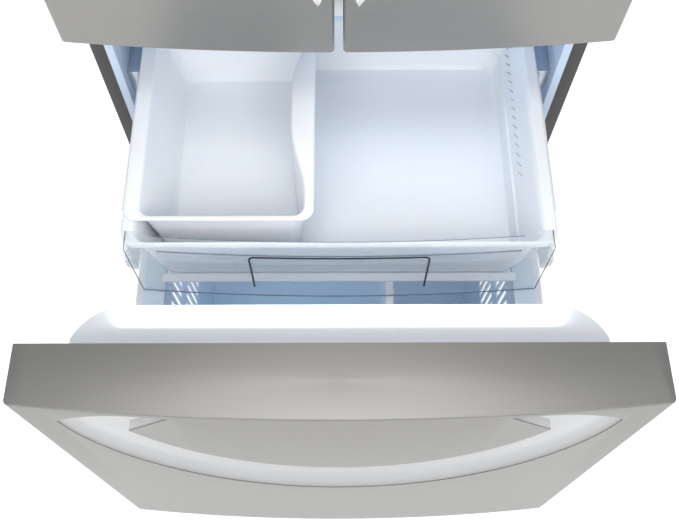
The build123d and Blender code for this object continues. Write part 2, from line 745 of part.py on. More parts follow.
def cabinet_rails():
    y0, y1 = RAIL_START, RAIL_START + RAIL_LENGTH
    lower = rail_member("fixed", IN_HALF, LOWER_RAIL_Z, y0, y1)
    upper = rail_member("fixed", UPPER_WALL_X, UPPER_RAIL_Z, y0, y1)
    upper += slab(UPPER_WALL_X, IN_HALF, y0, y1, UPPER_RAIL_Z - 20, UPPER_RAIL_Z + 20)
    return group(pair(lower), pair(upper))


def intermediate_rails():
    y0, y1 = RAIL_START, RAIL_START + RAIL_LENGTH
    lower = rail_member("middle", IN_HALF, LOWER_RAIL_Z, y0, y1)
    upper = rail_member("middle", UPPER_WALL_X, UPPER_RAIL_Z, y0, y1)
    return RAILS_OUT * group(pair(lower), pair(upper))


# Fronts: shared by the doors and the freezer drawer -----------------------------------------


def front_block(x0, x1, z0, z1, inset):
    """The outer form of a door or drawer front between two heights, smaller by an inset."""
    body = slab(
        x0 + inset, x1 - inset, CENTRE_FRONT - 5, DOOR_BACK, z0 + inset, z1 - inset
    )
    bow = Pos(0, CENTRE_FRONT + BOW_RADIUS, (z0 + z1) / 2.0) * Cylinder(
        BOW_RADIUS - inset, z1 - z0 + 20
    )
    body = body & bow
    upright = body.edges().filter_by(Axis.Z).sort_by(Axis.Y)[:2]
    return fillet(upright, DOOR_CORNER - inset)


def lens_face(plane, form, shrink, drop):
    """A crescent mouth: a straight edge, two rounded shoulders and one long bulging arc."""
    half, flat, tip, bulge = form
    half -= shrink
    flat -= shrink
    bulge -= shrink
    tip += drop
    shoulder = (flat + 0.64 * (half - flat), -drop - 0.2 * (tip - drop))
    edges = [
        Line((-flat, -drop), (flat, -drop)),
        ThreePointArc((flat, -drop), shoulder, (half, -tip)),
        ThreePointArc((half, -tip), (0, -bulge), (-half, -tip)),
        ThreePointArc((-half, -tip), (-shoulder[0], shoulder[1]), (-flat, -drop)),
    ]
    return plane * make_face(edges)


def pocket_cavity(frame, form, wall):
    """The scooped space of a handle pocket; wall makes it smaller all round."""
    levels = []
    for y in (CENTRE_FRONT - 1, CENTRE_FRONT + POCKET_COLLAR, CENTRE_FRONT + POCKET_DEPTH - wall):
        levels.append(Plane(frame.origin + Vector(0, y, 0), frame.x_dir, frame.z_dir))
    mouth, collar, floor = levels
    bowl = loft(
        [
            lens_face(collar, form, wall, wall),
            lens_face(floor, form, POCKET_SLOPE[form] + wall, wall + 2.0),
        ]
    )
    return bowl + extrude(lens_face(mouth, form, wall, wall), amount=-(POCKET_COLLAR + 1))


def lip_block(frame, form, y0, y1):
    """The lip's outline carried through from one depth to another."""
    half, flat, tip, bulge = form
    start = Plane(frame.origin + Vector(0, y0, 0), frame.x_dir, frame.z_dir)
    edges = [
        Line((-flat, 1.0), (flat, 1.0)),
        Line((flat, 1.0), (half, -tip)),
        ThreePointArc((half, -tip), (0, -bulge), (-half, -tip)),
        Line((-half, -tip), (-flat, 1.0)),
    ]
    return extrude(start * make_face(edges), amount=-(y1 - y0))


def front_skin(x0, x1, z0, z1, frame, form, lip):
    """Steel skin, open at the back, with the crescent cut out round the lip."""
    shell = front_block(x0, x1, z0, z1, 0.0)
    shell -= front_block(x0, x1, z0, z1, DOOR_SHEET)
    shell -= slab(
        x0 + DOOR_SHEET, x1 - DOOR_SHEET, DOOR_BACK - 1, DOOR_BACK + 1,
        z0 + DOOR_SHEET, z1 - DOOR_SHEET
    )
    reach = POCKET_DEPTH + 5.0
    cut = pocket_cavity(frame, form, 0.0) - lip_block(
        frame, lip, CENTRE_FRONT - 5.0, CENTRE_FRONT + reach
    )
    return shell - cut


def front_foam(x0, x1, z0, z1, frame, form):
    """Insulation between the skin and the liner, with room for the pocket."""
    block = front_block(x0, x1, z0, z1, DOOR_SHEET)
    block -= slab(x0, x1, DOOR_BACK - LINER, DOOR_BACK + 1, z0, z1)
    return block - pocket_cavity(frame, form, 0.0)


def front_pocket(x0, x1, z0, z1, frame, form, lip):
    """Moulded lining of the scooped space with the core that stiffens the lip."""
    inside = front_block(x0, x1, z0, z1, DOOR_SHEET)
    lining = (pocket_cavity(frame, form, 0.0) & inside) - pocket_cavity(
        frame, form, POCKET_WALL
    )
    arc_inner = Pos(0, CENTRE_FRONT + BOW_RADIUS, (z0 + z1) / 2.0) * Cylinder(
        BOW_RADIUS - LIP_THICK, z1 - z0 + 20
    )
    core = lip_block(frame, lip, CENTRE_FRONT - 5.0, CENTRE_FRONT + 40.0)
    core = (core & inside & pocket_cavity(frame, form, 0.0)) - arc_inner
    return lining + core


def gasket(x0, x1, z0, z1):
    bar = 14.0
    return ring(x0, x1, DOOR_BACK, -SEAL_CLEARANCE, z0, z1, bar)


# Doors, drawn for the right side ------------------------------------------------------------

DOOR_X0 = INNER_EDGE
DOOR_X1 = HALF
DIKE_X1 = IN_HALF - DIKE_SIDE
DIKE_Z0 = FRIDGE_FLOOR + 8.0
DIKE_Z1 = FRIDGE_CEILING - 8.0
DOOR_FRAME = Plane(
    origin=(INNER_EDGE + DOOR_POCKET_EDGE, 0, DOOR_POCKET_Z), x_dir=(0, 0, 1), z_dir=(0, -1, 0)
)


def pin_bores():
    radius = PIN_R + RUNNING
    top = rod(PIN_X, PIN_Y, DOOR_TOP - PIN_ENGAGE - 2, DOOR_TOP + 1, radius)
    return top + rod(PIN_X, PIN_Y, DOOR_BOTTOM - 1, DOOR_BOTTOM + PIN_ENGAGE + 2, radius)


def door_skin():
    skin = front_skin(
        DOOR_X0, DOOR_X1, DOOR_BOTTOM, DOOR_TOP, DOOR_FRAME, DOOR_POCKET, DOOR_LIP
    )
    return skin - pin_bores()


def dike_ring(shrink, y0):
    """The raised ridge round the back of a door."""
    bar = DIKE_BAR - 2 * shrink
    return ring(
        DIKE_INNER_X + shrink, DIKE_X1 - shrink, y0, DIKE_DEPTH - shrink,
        DIKE_Z0 + shrink, DIKE_Z1 - shrink, bar
    )


def door_foam():
    core = front_foam(DOOR_X0, DOOR_X1, DOOR_BOTTOM, DOOR_TOP, DOOR_FRAME, DOOR_POCKET)
    return core + dike_ring(2.0, DOOR_BACK - LINER) - pin_bores()


def door_liner():
    plate = slab(
        DOOR_X0 + DOOR_SHEET, DOOR_X1 - DOOR_SHEET, DOOR_BACK - LINER, DOOR_BACK,
        DOOR_BOTTOM + DOOR_SHEET, DOOR_TOP - DOOR_SHEET
    )
    liner = plate + dike_ring(0.0, DOOR_BACK - LINER)
    return liner - dike_ring(2.0, DOOR_BACK - LINER - 1.0)


def door_gasket():
    edge = 8.0
    return gasket(
        INNER_EDGE + 2.0, HALF - 12.0, DOOR_BOTTOM + edge - 2.0, CASE_TOP - edge
    )


def door_bins():
    gap = 0.5
    x0 = DIKE_INNER_X + DIKE_BAR + gap
    x1 = DIKE_X1 - DIKE_BAR - gap
    bins = []
    for z in BIN_Z:
        bins.append(open_box(x0, x1, DOOR_BACK + gap, BIN_REACH, z, z + BIN_HEIGHT, 2.5))
    return group(*bins)


def door_pocket():
    return front_pocket(
        DOOR_X0, DOOR_X1, DOOR_BOTTOM, DOOR_TOP, DOOR_FRAME, DOOR_POCKET, DOOR_LIP
    )


def center_flap():
    z0, z1 = FLAP_Z0, FLAP_Z1
    half = FLAP_THICK / 2.0
    flap = slab(
        FLAP_X - half, FLAP_X + half, FLAP_Y - FLAP_ROOT, FLAP_Y - FLAP_ROOT + FLAP_WIDTH, z0, z1
    )
    flap = fillet(flap.edges().filter_by(Axis.Z), 2.5)
    return flap - rod(FLAP_X, FLAP_Y, z0 - 1, z1 + 1, 2.0 + RUNNING)


def flap_hinge():
    """Pin of the centre flap and the arms that hold it to the left door's ridge."""
    z0, z1 = FLAP_Z0, FLAP_Z1
    edge = -DIKE_INNER_X
    pin = rod(FLAP_X, FLAP_Y, z0 - 3, z1 + 3, 2.0)
    for z in (z0 - 3.0, z1 + 0.5):
        pin += slab(edge, FLAP_X + 4, FLAP_Y - 6, FLAP_Y + 6, z, z + 2.5)
    return pin


# Freezer drawer -----------------------------------------------------------------------------

RIDGE_TOP = FREEZER_CEILING - 4.0
RIDGE_HALF = IN_HALF - 15.0
RIDGE_REACH = 60.0
RIDGE_SHOULDER = 14.6
RIDGE_STRAIGHT = RIDGE_HALF - 72.0
RIDGE_BAR = 40.0
RIDGE_SIDE_BAR = 22.0
RIDGE_LOW = FREEZER_FLOOR + 8.0
DRAWER_FRAME = Plane(
    origin=(0, 0, DRAWER_TOP - DRAWER_POCKET_EDGE), x_dir=(1, 0, 0), z_dir=(0, -1, 0)
)


def ridge_top_bar(shrink):
    """Top of the inner ridge: straight at the back, with rounded, sloping ends."""
    rear = RIDGE_REACH - shrink
    side = RIDGE_SHOULDER - shrink
    half = RIDGE_HALF - shrink
    front = DOOR_BACK - LINER
    bulge = ((half + RIDGE_STRAIGHT) / 2 + 9, (rear + side) / 2 + 10)
    outline = [
        Line((-half, front), (half, front)),
        Line((half, front), (half, side)),
        ThreePointArc((half, side), bulge, (RIDGE_STRAIGHT, rear)),
        Line((RIDGE_STRAIGHT, rear), (-RIDGE_STRAIGHT, rear)),
        ThreePointArc((-RIDGE_STRAIGHT, rear), (-bulge[0], bulge[1]), (-half, side)),
        Line((-half, side), (-half, front)),
    ]
    z0 = RIDGE_TOP - RIDGE_BAR + shrink
    face = Pos(0, 0, z0) * make_face(outline)
    return extrude(face, amount=RIDGE_BAR - 2 * shrink)


def ridge_bars(shrink):
    """Side and bottom bars of the inner ridge."""
    front, rear = DOOR_BACK - LINER, RIDGE_SHOULDER - shrink
    bars = slab(
        -RIDGE_HALF + shrink, RIDGE_HALF - shrink, front, rear,
        RIDGE_LOW + shrink, RIDGE_LOW + RIDGE_BAR - shrink
    )
    for side in (-1, 1):
        x0, x1 = sorted(
            (side * (RIDGE_HALF - shrink), side * (RIDGE_HALF - RIDGE_SIDE_BAR + shrink))
        )
        bars += slab(x0, x1, front, rear, RIDGE_LOW + shrink, RIDGE_TOP - RIDGE_BAR + 2 * shrink)
    return bars


def inner_ridge(shrink):
    return ridge_top_bar(shrink) + ridge_bars(shrink)


def drawer_skin():
    skin = front_skin(
        -HALF, HALF, DRAWER_BOTTOM, DRAWER_TOP, DRAWER_FRAME, DRAWER_POCKET, DRAWER_LIP
    )
    return DRAWER_OUT * skin


def drawer_foam():
    core = front_foam(-HALF, HALF, DRAWER_BOTTOM, DRAWER_TOP, DRAWER_FRAME, DRAWER_POCKET)
    return DRAWER_OUT * (core + inner_ridge(2.0))


def drawer_liner():
    plate = slab(
        -HALF + DOOR_SHEET, HALF - DOOR_SHEET, DOOR_BACK - LINER, DOOR_BACK,
        DRAWER_BOTTOM + DOOR_SHEET, DRAWER_TOP - DOOR_SHEET
    )
    return DRAWER_OUT * (plate + inner_ridge(0.0) - inner_ridge(2.0))


def drawer_gasket():
    seal = gasket(
        -HALF + 10.0, HALF - 10.0, DRAWER_BOTTOM + 8.0, LOW_PLATE_Z - 13.0
    )
    return DRAWER_OUT * seal


def drawer_pocket():
    pocket = front_pocket(
        -HALF, HALF, DRAWER_BOTTOM, DRAWER_TOP, DRAWER_FRAME, DRAWER_POCKET, DRAWER_LIP
    )
    return DRAWER_OUT * pocket


def drawer_runners():
    y0, y1 = RIDGE_SHOULDER, RAIL_START + RAIL_LENGTH
    runner = rail_member("runner", IN_HALF, LOWER_RAIL_Z, y0, y1)
    shelf_x = IN_HALF - MEMBER - 2 * MEMBER_STEP
    runner += slab(
        BASKET_HALF - 30.0, shelf_x, BASKET_FRONT, BASKET_REAR,
        LOWER_RAIL_Z - 16, LOWER_RAIL_Z - 12
    )
    return DRAWER_OUT * pair(runner)


def lower_basket():
    half = BASKET_BODY_HALF
    floor_half = half - BASKET_DRAFT
    y0, y1 = BASKET_FRONT + 8.0, BASKET_REAR - 8.0
    outer = tapered(
        (-floor_half, floor_half, y0 + 12, y1 - 12), (-half, half, y0, y1), BASKET_LOW, BASKET_RIM_Z
    )
    wall = BASKET_WALL
    inner = tapered(
        (-floor_half + wall, floor_half - wall, y0 + 12 + wall, y1 - 12 - wall),
        (-half + wall, half - wall, y0 + wall, y1 - wall),
        BASKET_LOW + wall, BASKET_RIM_Z
    )
    mouth = slab(
        -half + wall, half - wall, y0 + wall, y1 - wall, BASKET_RIM_Z - 8, BASKET_RIM_Z + 1
    )
    rim = slab(
        -BASKET_HALF, BASKET_HALF, BASKET_FRONT, BASKET_REAR, BASKET_RIM_Z - 4, BASKET_RIM_Z
    )
    hook_top = LOWER_RAIL_Z - 12
    basket = outer + rim
    for side in (-1, 1):
        x0, x1 = sorted((side * (half - 1.0), side * (BASKET_HALF - 2.0)))
        basket += slab(x0, x1, y0 + 20, y0 + 24, hook_top, BASKET_RIM_Z)
        basket += slab(x0, x1, y1 - 24, y1 - 20, hook_top, BASKET_RIM_Z)
    return DRAWER_OUT * (basket - inner - mouth)


def basket_divider():
    y0 = BASKET_FRONT + 8.0 + BASKET_WALL + 1.0
    y1 = BASKET_REAR - 8.0 - BASKET_WALL - 1.0
    x = DIVIDER_X
    slope = 12.0
    plate = slab(x - 2, x + 2, y0 + slope + 1, y1 - slope - 1, BASKET_LOW + 40, BASKET_RIM_Z - 10)
    cap = slab(x - 6, x + 6, y0, y1, BASKET_RIM_Z - 10, BASKET_RIM_Z - 1)
    return DRAWER_OUT * (plate + cap)


# Upper freezer drawer -----------------------------------------------------------------------

TUB_BODY_HALF = TUB_HALF - TUB_RIM
TUB_FLOOR_HALF = TUB_BODY_HALF - TUB_DRAFT
UPPER_FRONT_HALF = TUB_HALF - UPPER_FRONT_INSET
UPPER_FRONT_RADIUS = (UPPER_FRONT_HALF**2 + UPPER_FRONT_BOW**2) / (2 * UPPER_FRONT_BOW)


def tub_block(grow, z0, z1):
    floor_half = TUB_FLOOR_HALF + grow
    half = TUB_BODY_HALF + grow
    return tapered(
        (-floor_half, floor_half, TUB_FRONT + 21.0 - grow, TUB_REAR - 30.0 + grow),
        (-half, half, TUB_FRONT + 6.0 - grow, TUB_REAR - 14.0 + grow),
        z0, z1
    )


def upper_tub():
    wall = TUB_WALL
    outer = tub_block(wall, TUB_FLOOR_Z - wall, TUB_RIM_Z)
    inner = tub_block(0.0, TUB_FLOOR_Z, TUB_RIM_Z)
    rim = slab(-TUB_HALF, TUB_HALF, TUB_FRONT, TUB_REAR, TUB_RIM_Z - 12.0, TUB_RIM_Z)
    mouth = slab(
        -TUB_BODY_HALF, TUB_BODY_HALF, TUB_FRONT + 6.0, TUB_REAR - 14.0,
        TUB_RIM_Z - 0.5, TUB_RIM_Z + 1
    )
    tub = outer + rim - inner - mouth
    runner = rail_member("runner", UPPER_WALL_X, UPPER_RAIL_Z, TUB_FRONT, TUB_REAR - 4.0)
    web_x = UPPER_WALL_X - MEMBER - 2 * MEMBER_STEP
    runner += slab(web_x, web_x + 6, TUB_FRONT, TUB_REAR - 4.0, UPPER_RAIL_Z, TUB_RIM_Z - 11.0)
    return UPPER_OUT * (tub + runner + mirrored(runner))


def upper_front_block(inset):
    centre = TUB_FRONT - UPPER_FRONT_GAP
    box = slab(
        -UPPER_FRONT_HALF + inset, UPPER_FRONT_HALF - inset, centre - 5, TUB_FRONT,
        TUB_FLOOR_Z - UPPER_FRONT_DROP, TUB_RIM_Z
    )
    bow = Pos(0, centre + UPPER_FRONT_RADIUS, TUB_RIM_Z) * Cylinder(
        UPPER_FRONT_RADIUS - inset, 600
    )
    return box & bow


def upper_front():
    return UPPER_OUT * (
        upper_front_block(0.0)
        - upper_front_block(UPPER_FRONT_THICK)
        - slab(
            -UPPER_FRONT_HALF + UPPER_FRONT_THICK, UPPER_FRONT_HALF - UPPER_FRONT_THICK,
            TUB_FRONT - 2, TUB_FRONT + 2, 0, TUB_RIM_Z + 1
        )
    )


def upper_handle_plate():
    """Stiffening plate behind the clear front's pull edge."""
    region = slab(-128, 128, 0, TUB_FRONT, TUB_RIM_Z - 100, TUB_RIM_Z - 4)
    band = upper_front_block(UPPER_FRONT_THICK) - upper_front_block(UPPER_FRONT_THICK + 3.0)
    arch = region - slab(-112, 112, -10, TUB_FRONT + 1, TUB_RIM_Z - 110, TUB_RIM_Z - 22)
    return UPPER_OUT * (band & arch)


ICE_BIN_X0 = ICE_BIN_SIDE - TUB_HALF
ICE_BIN_TOP = TUB_RIM_Z + ICE_BIN_PROUD


def ice_bin():
    y0, y1 = TUB_FRONT + 40.0, TUB_REAR - 44.0
    rim, wide_rim = ICE_BIN_RIM, ICE_BIN_WIDE_RIM
    z0 = TUB_FLOOR_Z
    wall = TUB_WALL
    floor_x0 = -TUB_FLOOR_HALF + 5.0
    outer = tapered(
        (floor_x0, ICE_BIN_X1 - 22, y0 + 8, y1 - 12), (ICE_BIN_X0 + rim, ICE_BIN_X1 - wide_rim, y0, y1),
        z0, ICE_BIN_TOP
    )
    inner = tapered(
        (floor_x0 + wall, ICE_BIN_X1 - 22 - wall, y0 + 8 + wall, y1 - 12 - wall),
        (ICE_BIN_X0 + rim + wall, ICE_BIN_X1 - wide_rim - wall, y0 + wall, y1 - wall),
        z0 + wall, ICE_BIN_TOP
    )
    flange = slab(ICE_BIN_X0, ICE_BIN_X1, y0 - 6, y1 + 6, ICE_BIN_TOP - 4, ICE_BIN_TOP)
    mouth = slab(
        ICE_BIN_X0 + rim + wall, ICE_BIN_X1 - wide_rim - wall, y0 + wall, y1 - wall,
        ICE_BIN_TOP - 5, ICE_BIN_TOP + 1
    )
    return UPPER_OUT * (outer + flange - inner - mouth)


# Writing ------------------------------------------------------------------------------------


def main():
    os.makedirs("parts", exist_ok=True)
    save("cabinet_wrapper", cabinet_wrapper())
    save("rear_panel", rear_panel())
    save("fridge_liner", fridge_liner())
    save("freezer_liner", freezer_liner())
    save("cabinet_insulation", cabinet_insulation())
    save("center_rail", center_rail())
    save("base_frame", base_frame())
    save("kick_grille", kick_grille())
    save("machine_cover", machine_cover())
    save("compressor", compressor())
    save("condenser_unit", group(condenser(), condenser_fan_motor()))
    save("condenser_fan_blade", condenser_fan_blade())
    save("door_hinges", door_hinges())
    save("hinge_covers", hinge_covers())
    save("control_panel", control_panel())
    save("light_lens", light_lens())
    save("air_duct", air_duct())
    save("shelf_frames", group(*shelf_frames(), *shelf_ladders()))
    save("shelf_glasses", shelf_glasses())
    save("crisper_cover", crisper_cover())
    save("evaporator_cover", evaporator_cover())
    save("evaporator", evaporator())
    save("evaporator_fan_blade", evaporator_fan_blade())
    save("ice_maker", ice_maker())
    save("ice_maker_arm", ice_maker_arm())
    save("cabinet_rails", cabinet_rails())
    save("intermediate_rails", intermediate_rails())
    right_door = {
        "door_skin": door_skin(),
        "door_liner": door_liner(),
        "door_foam": door_foam(),
        "door_gasket": door_gasket(),
        "door_bins": door_bins(),
        "door_pocket": door_pocket(),
    }
    for name, shape in right_door.items():
        save("right_" + name, shape)
        if name != "door_liner":
            save("left_" + name, mirrored(shape))
    save("left_door_liner", group(mirrored(right_door["door_liner"]), flap_hinge()))
    save("center_flap", center_flap())
    save("drawer_skin", drawer_skin())
    save("drawer_pocket", drawer_pocket())
    save("drawer_foam", drawer_foam())
    save("drawer_liner", drawer_liner())
    save("drawer_gasket", drawer_gasket())
    save("drawer_runners", drawer_runners())
    save("lower_basket", lower_basket())
    save("basket_divider", basket_divider())
    save("upper_tub", upper_tub())
    save("upper_front", upper_front())
    save("upper_handle_plate", upper_handle_plate())
    save("ice_bin", ice_bin())
    save("left_crisper", crisper(-1))
    save("right_crisper", crisper(1))
    save("left_humidity_slider", humidity_slider(-1))
    save("right_humidity_slider", humidity_slider(1))
    save("front_rollers", roller_pair(FRONT_ROLLER_Y, ROLLER_R + FRONT_ROLLER_LIFT))
    save("rear_rollers", roller_pair(REAR_ROLLER_Y, ROLLER_R))
    save("left_leg", mirrored(leg()))
    save("right_leg", leg())


main()
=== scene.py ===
"""French door refrigerator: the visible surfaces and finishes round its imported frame, in metres."""

import json
import math

import bmesh
import bpy
from bpy.props import FloatProperty, FloatVectorProperty, PointerProperty
from mathutils import Matrix, Vector

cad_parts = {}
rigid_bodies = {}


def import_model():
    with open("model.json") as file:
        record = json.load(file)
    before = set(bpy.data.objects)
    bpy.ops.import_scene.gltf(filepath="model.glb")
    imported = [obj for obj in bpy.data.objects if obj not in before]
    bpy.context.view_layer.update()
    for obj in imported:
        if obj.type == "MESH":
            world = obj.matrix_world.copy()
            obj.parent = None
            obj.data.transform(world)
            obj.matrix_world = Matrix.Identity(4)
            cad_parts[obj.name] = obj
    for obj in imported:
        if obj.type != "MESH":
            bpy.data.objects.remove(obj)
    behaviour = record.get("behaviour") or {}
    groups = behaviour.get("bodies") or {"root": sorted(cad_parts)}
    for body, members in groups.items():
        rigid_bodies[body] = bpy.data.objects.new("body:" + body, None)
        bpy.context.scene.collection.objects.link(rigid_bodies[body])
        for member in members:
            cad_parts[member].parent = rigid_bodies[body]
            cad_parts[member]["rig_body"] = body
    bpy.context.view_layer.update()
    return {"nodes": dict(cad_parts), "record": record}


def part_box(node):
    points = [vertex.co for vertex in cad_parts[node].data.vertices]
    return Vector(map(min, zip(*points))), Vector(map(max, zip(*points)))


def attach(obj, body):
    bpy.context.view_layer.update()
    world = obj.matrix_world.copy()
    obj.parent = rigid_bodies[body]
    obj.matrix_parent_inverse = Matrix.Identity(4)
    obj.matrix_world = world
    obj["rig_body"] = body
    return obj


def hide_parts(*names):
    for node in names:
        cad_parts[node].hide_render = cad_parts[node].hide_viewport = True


bl_info = {
    "name": "French Door Refrigerator",
    "version": (1, 0, 0),
    "blender": (4, 5, 0),
    "location": "View3D > Sidebar > Refrigerator",
    "description": "Builds the visible surfaces of a french door refrigerator on its frame",
    "category": "Object",
}

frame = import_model()
RECORD_SLOTS = {part["node"]: part["material_slot"] for part in frame["record"]["subparts"]}
BODY_OF = {n: o["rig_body"] for n, o in frame["nodes"].items()}

# Handle scoops and the lips over them: half length, half of the straight edge, and how far the
# tips and the bulge stand from that edge
DRAWER_MOUTH = (0.333, 0.200, 0.039, 0.352)
DRAWER_LIP = (0.252, 0.189, 0.059, 0.217)
DOOR_MOUTH = (0.337, 0.290, 0.008, 0.100)
DOOR_LIP = (0.306, 0.280, 0.014, 0.062)
DRAWER_MOUTH_DROP = 0.011  # straight edge below the top of the drawer front
DOOR_MOUTH_INSET = 0.012  # straight edge from the door's inner side
DOOR_MOUTH_Z = 1.142

TUB_HALF = 0.309
TUB_FRONT_Y = -0.36275
TUB_RIM_Z = 0.590
TUB_FLOOR_Z = 0.470


# Sizes and colours --------------------------------------------------------------------------


class FridgeSizes(bpy.types.PropertyGroup):
    """Sizes of the visible details"""

    sheet: FloatProperty(
        name="Steel sheet", description="Thickness of the door steel", default=0.0012, unit="LENGTH"
    )
    bow: FloatProperty(
        name="Front bow", description="How far the middle of the fronts stands out",
        default=0.0195, unit="LENGTH"
    )
    corner: FloatProperty(
        name="Front corner", description="Radius of the fronts' upright edges",
        default=0.006, unit="LENGTH"
    )
    fold: FloatProperty(
        name="Folded edge", description="Radius of the fronts' level edges",
        default=0.0016, unit="LENGTH"
    )
    scoop_depth: FloatProperty(
        name="Scoop depth", description="Depth of the handle scoops", default=0.0392, unit="LENGTH"
    )
    lip_thick: FloatProperty(
        name="Lip", description="Thickness of the handle lips", default=0.013, unit="LENGTH"
    )
    wall: FloatProperty(
        name="Moulded wall", description="Wall of the moulded tubs", default=0.003, unit="LENGTH"
    )
    clear_wall: FloatProperty(
        name="Clear wall", description="Thickness of the clear front", default=0.004, unit="LENGTH"
    )
    outline: FloatProperty(
        name="Handle outline", description="Width of the printed handle outline",
        default=0.0026, unit="LENGTH"
    )
    # Width of the dark strips along the clear front's edges: painted edge shade
    clear_edge: FloatProperty(
        name="Clear edge", description="Width of the painted shade strips along the clear front's edges",
        default=0.0013, unit="LENGTH"
    )


def colour(name, description, default):
    """A colour property."""
    return FloatVectorProperty(
        name=name, description=description, default=default, size=3, min=0.0, max=1.0,
        subtype="COLOR"
    )


class FridgeColours(bpy.types.PropertyGroup):
    """Colours of the finishes"""

    steel: colour("Steel", "Brushed stainless fronts", (0.312, 0.305, 0.292))
    case: colour("Cabinet", "Painted cabinet sides", (0.050, 0.048, 0.047))
    plastic: colour("White plastic", "Liners and tubs", (0.82, 0.85, 0.89))
    # Painted shade: a darker blue copy of the white plastic stands in for the blue-lit shade inside
    # the freezer
    shaded: colour("White plastic with painted blue shade", "Freezer liner and lower basket", (0.56, 0.68, 0.84))
    clear: colour("Clear plastic", "Drawer front, crispers and bins", (0.78, 0.87, 0.95))
    seal: colour("Seal", "Rubber door seals", (0.62, 0.64, 0.66))
    pocket: colour("Scoop", "Lining of the handle scoops", (0.72, 0.725, 0.73))
    dark: colour("Dark plastic", "Grille, covers, handle outline", (0.018, 0.019, 0.022))
    foam: colour("Foam", "Insulation", (0.74, 0.62, 0.34))


def sizes():
    """The sizes of the scene."""
    return bpy.context.scene.fridge_sizes


def colours():
    """The colours of the scene."""
    return bpy.context.scene.fridge_colours


# Finishes -----------------------------------------------------------------------------------


class Socket:
    """A shader value; arithmetic on it adds Math nodes."""

    def __init__(self, finish, output):
        self.finish = finish
        self.output = output

    def maths(self, operation, first, second):
        return self.finish.node("ShaderNodeMath", {"operation": operation}, {0: first, 1: second})

    def __add__(self, other):
        return self.maths("ADD", self, other)

    def __radd__(self, other):
        return self.maths("ADD", other, self)

    def __sub__(self, other):
        return self.maths("SUBTRACT", self, other)

    def __rsub__(self, other):
        return self.maths("SUBTRACT", other, self)

    def __mul__(self, other):
        return self.maths("MULTIPLY", self, other)

    def __rmul__(self, other):
        return self.maths("MULTIPLY", other, self)


class Finish:
    """A material with one Principled shader whose constants are set on its own sockets."""

    def __init__(self, name, **constants):
        self.material = bpy.data.materials.new(name)
        self.material.use_nodes = True
        self.tree = self.material.node_tree
        self.shader = next(n for n in self.tree.nodes if n.type == "BSDF_PRINCIPLED")
        for socket, value in constants.items():
            self.shader.inputs[socket.replace("_", " ")].default_value = value
        self.place = self.node("ShaderNodeTexCoord", output="Object")

    def node(self, kind, settings=None, inputs=None, output=0):
        """Adds a node, its settings first, and returns one of its outputs."""
        made = self.tree.nodes.new(kind)
        for key, value in (settings or {}).items():
            setattr(made, key, value)
        for key, value in (inputs or {}).items():
            self.join(made.inputs[key], value)
        return Socket(self, made.outputs[output])

    def join(self, target, value):
        if isinstance(value, Socket):
            self.tree.links.new(value.output, target)
        else:
            target.default_value = value

    def feed(self, **values):
        """Joins what changes over the surface to the shader."""
        for socket, value in values.items():
            self.join(self.shader.inputs[socket.replace("_", " ")], value)

    def grain(self, scale, detail=3.0, roughness=0.5):
        """Noise with its own scale along each axis, from 0 to 1."""
        stretched = self.node(
            "ShaderNodeMapping", {"vector_type": "POINT"}, {"Vector": self.place, "Scale": scale}
        )
        return self.node(
            "ShaderNodeTexNoise", {"noise_dimensions": "3D"},
            {"Vector": stretched, "Scale": 1.0, "Detail": detail, "Roughness": roughness}
        )

    def cells(self, scale):
        """Patches of one value each, from 0 to 1."""
        patch = self.node(
            "ShaderNodeTexVoronoi", {"feature": "F1"}, {"Vector": self.place, "Scale": scale},
            "Color"
        )
        return self.node("ShaderNodeSeparateColor", {}, {0: patch})

    def span(self, value, low, high):
        """A 0 to 1 value spread between two limits."""
        return value * (high - low) + low

    def between(self, factor, first, second):
        """A colour mixed from two."""
        return self.node(
            "ShaderNodeMix", {"data_type": "RGBA"},
            {0: factor, 6: (*first, 1.0), 7: (*second, 1.0)}, 2
        )

    def relief(self, height, distance, strength=1.0):
        """A small bump fed to the shader."""
        bump = self.node(
            "ShaderNodeBump", {}, {"Height": height, "Distance": distance, "Strength": strength}
        )
        self.feed(Normal=bump)


def shade(base, factor):
    """A lighter or darker version of a colour."""
    return tuple(min(1.0, max(0.0, c * factor)) for c in base)


def brushed_steel(name, base, along, metallic, rough):
    """Brushed sheet steel with its grain along one axis."""
    finish = Finish(name, Metallic=metallic, Anisotropic=0.35)
    scale = [900.0, 900.0, 900.0]
    scale["XYZ".index(along)] = 9.0
    streak = finish.grain(scale, 2.0)
    broad = finish.grain((2.2, 2.2, 3.4), 2.0)
    tone = streak * 0.55 + broad * 0.45
    finish.feed(
        Base_Color=finish.between(tone, shade(base, 0.88), shade(base, 1.12)),
        Roughness=finish.span(tone, rough - 0.05, rough + 0.07),
    )
    finish.relief(streak, 0.00003, 0.35)
    return finish.material


def painted(name, base, rough, grit):
    """Textured enamel on steel."""
    finish = Finish(name, Specular_IOR_Level=0.45)
    peel = finish.grain((700.0, 700.0, 700.0), 2.0)
    broad = finish.grain((3.0, 3.0, 3.0), 2.0)
    finish.feed(
        Base_Color=finish.between(broad, shade(base, 0.86), shade(base, 1.16)),
        Roughness=finish.span(peel, rough - 0.06, rough + 0.08),
    )
    finish.relief(peel, grit, 0.5)
    return finish.material


def galvanised(name):
    """Zinc-coated sheet with its spangle."""
    finish = Finish(name, Metallic=0.9)
    spangle = finish.cells(150.0)
    finish.feed(
        Base_Color=finish.between(spangle, (0.46, 0.47, 0.49), (0.56, 0.57, 0.59)),
        Roughness=finish.span(spangle, 0.34, 0.52),
    )
    finish.relief(finish.grain((260.0, 260.0, 260.0), 2.0), 0.00006, 0.4)
    return finish.material


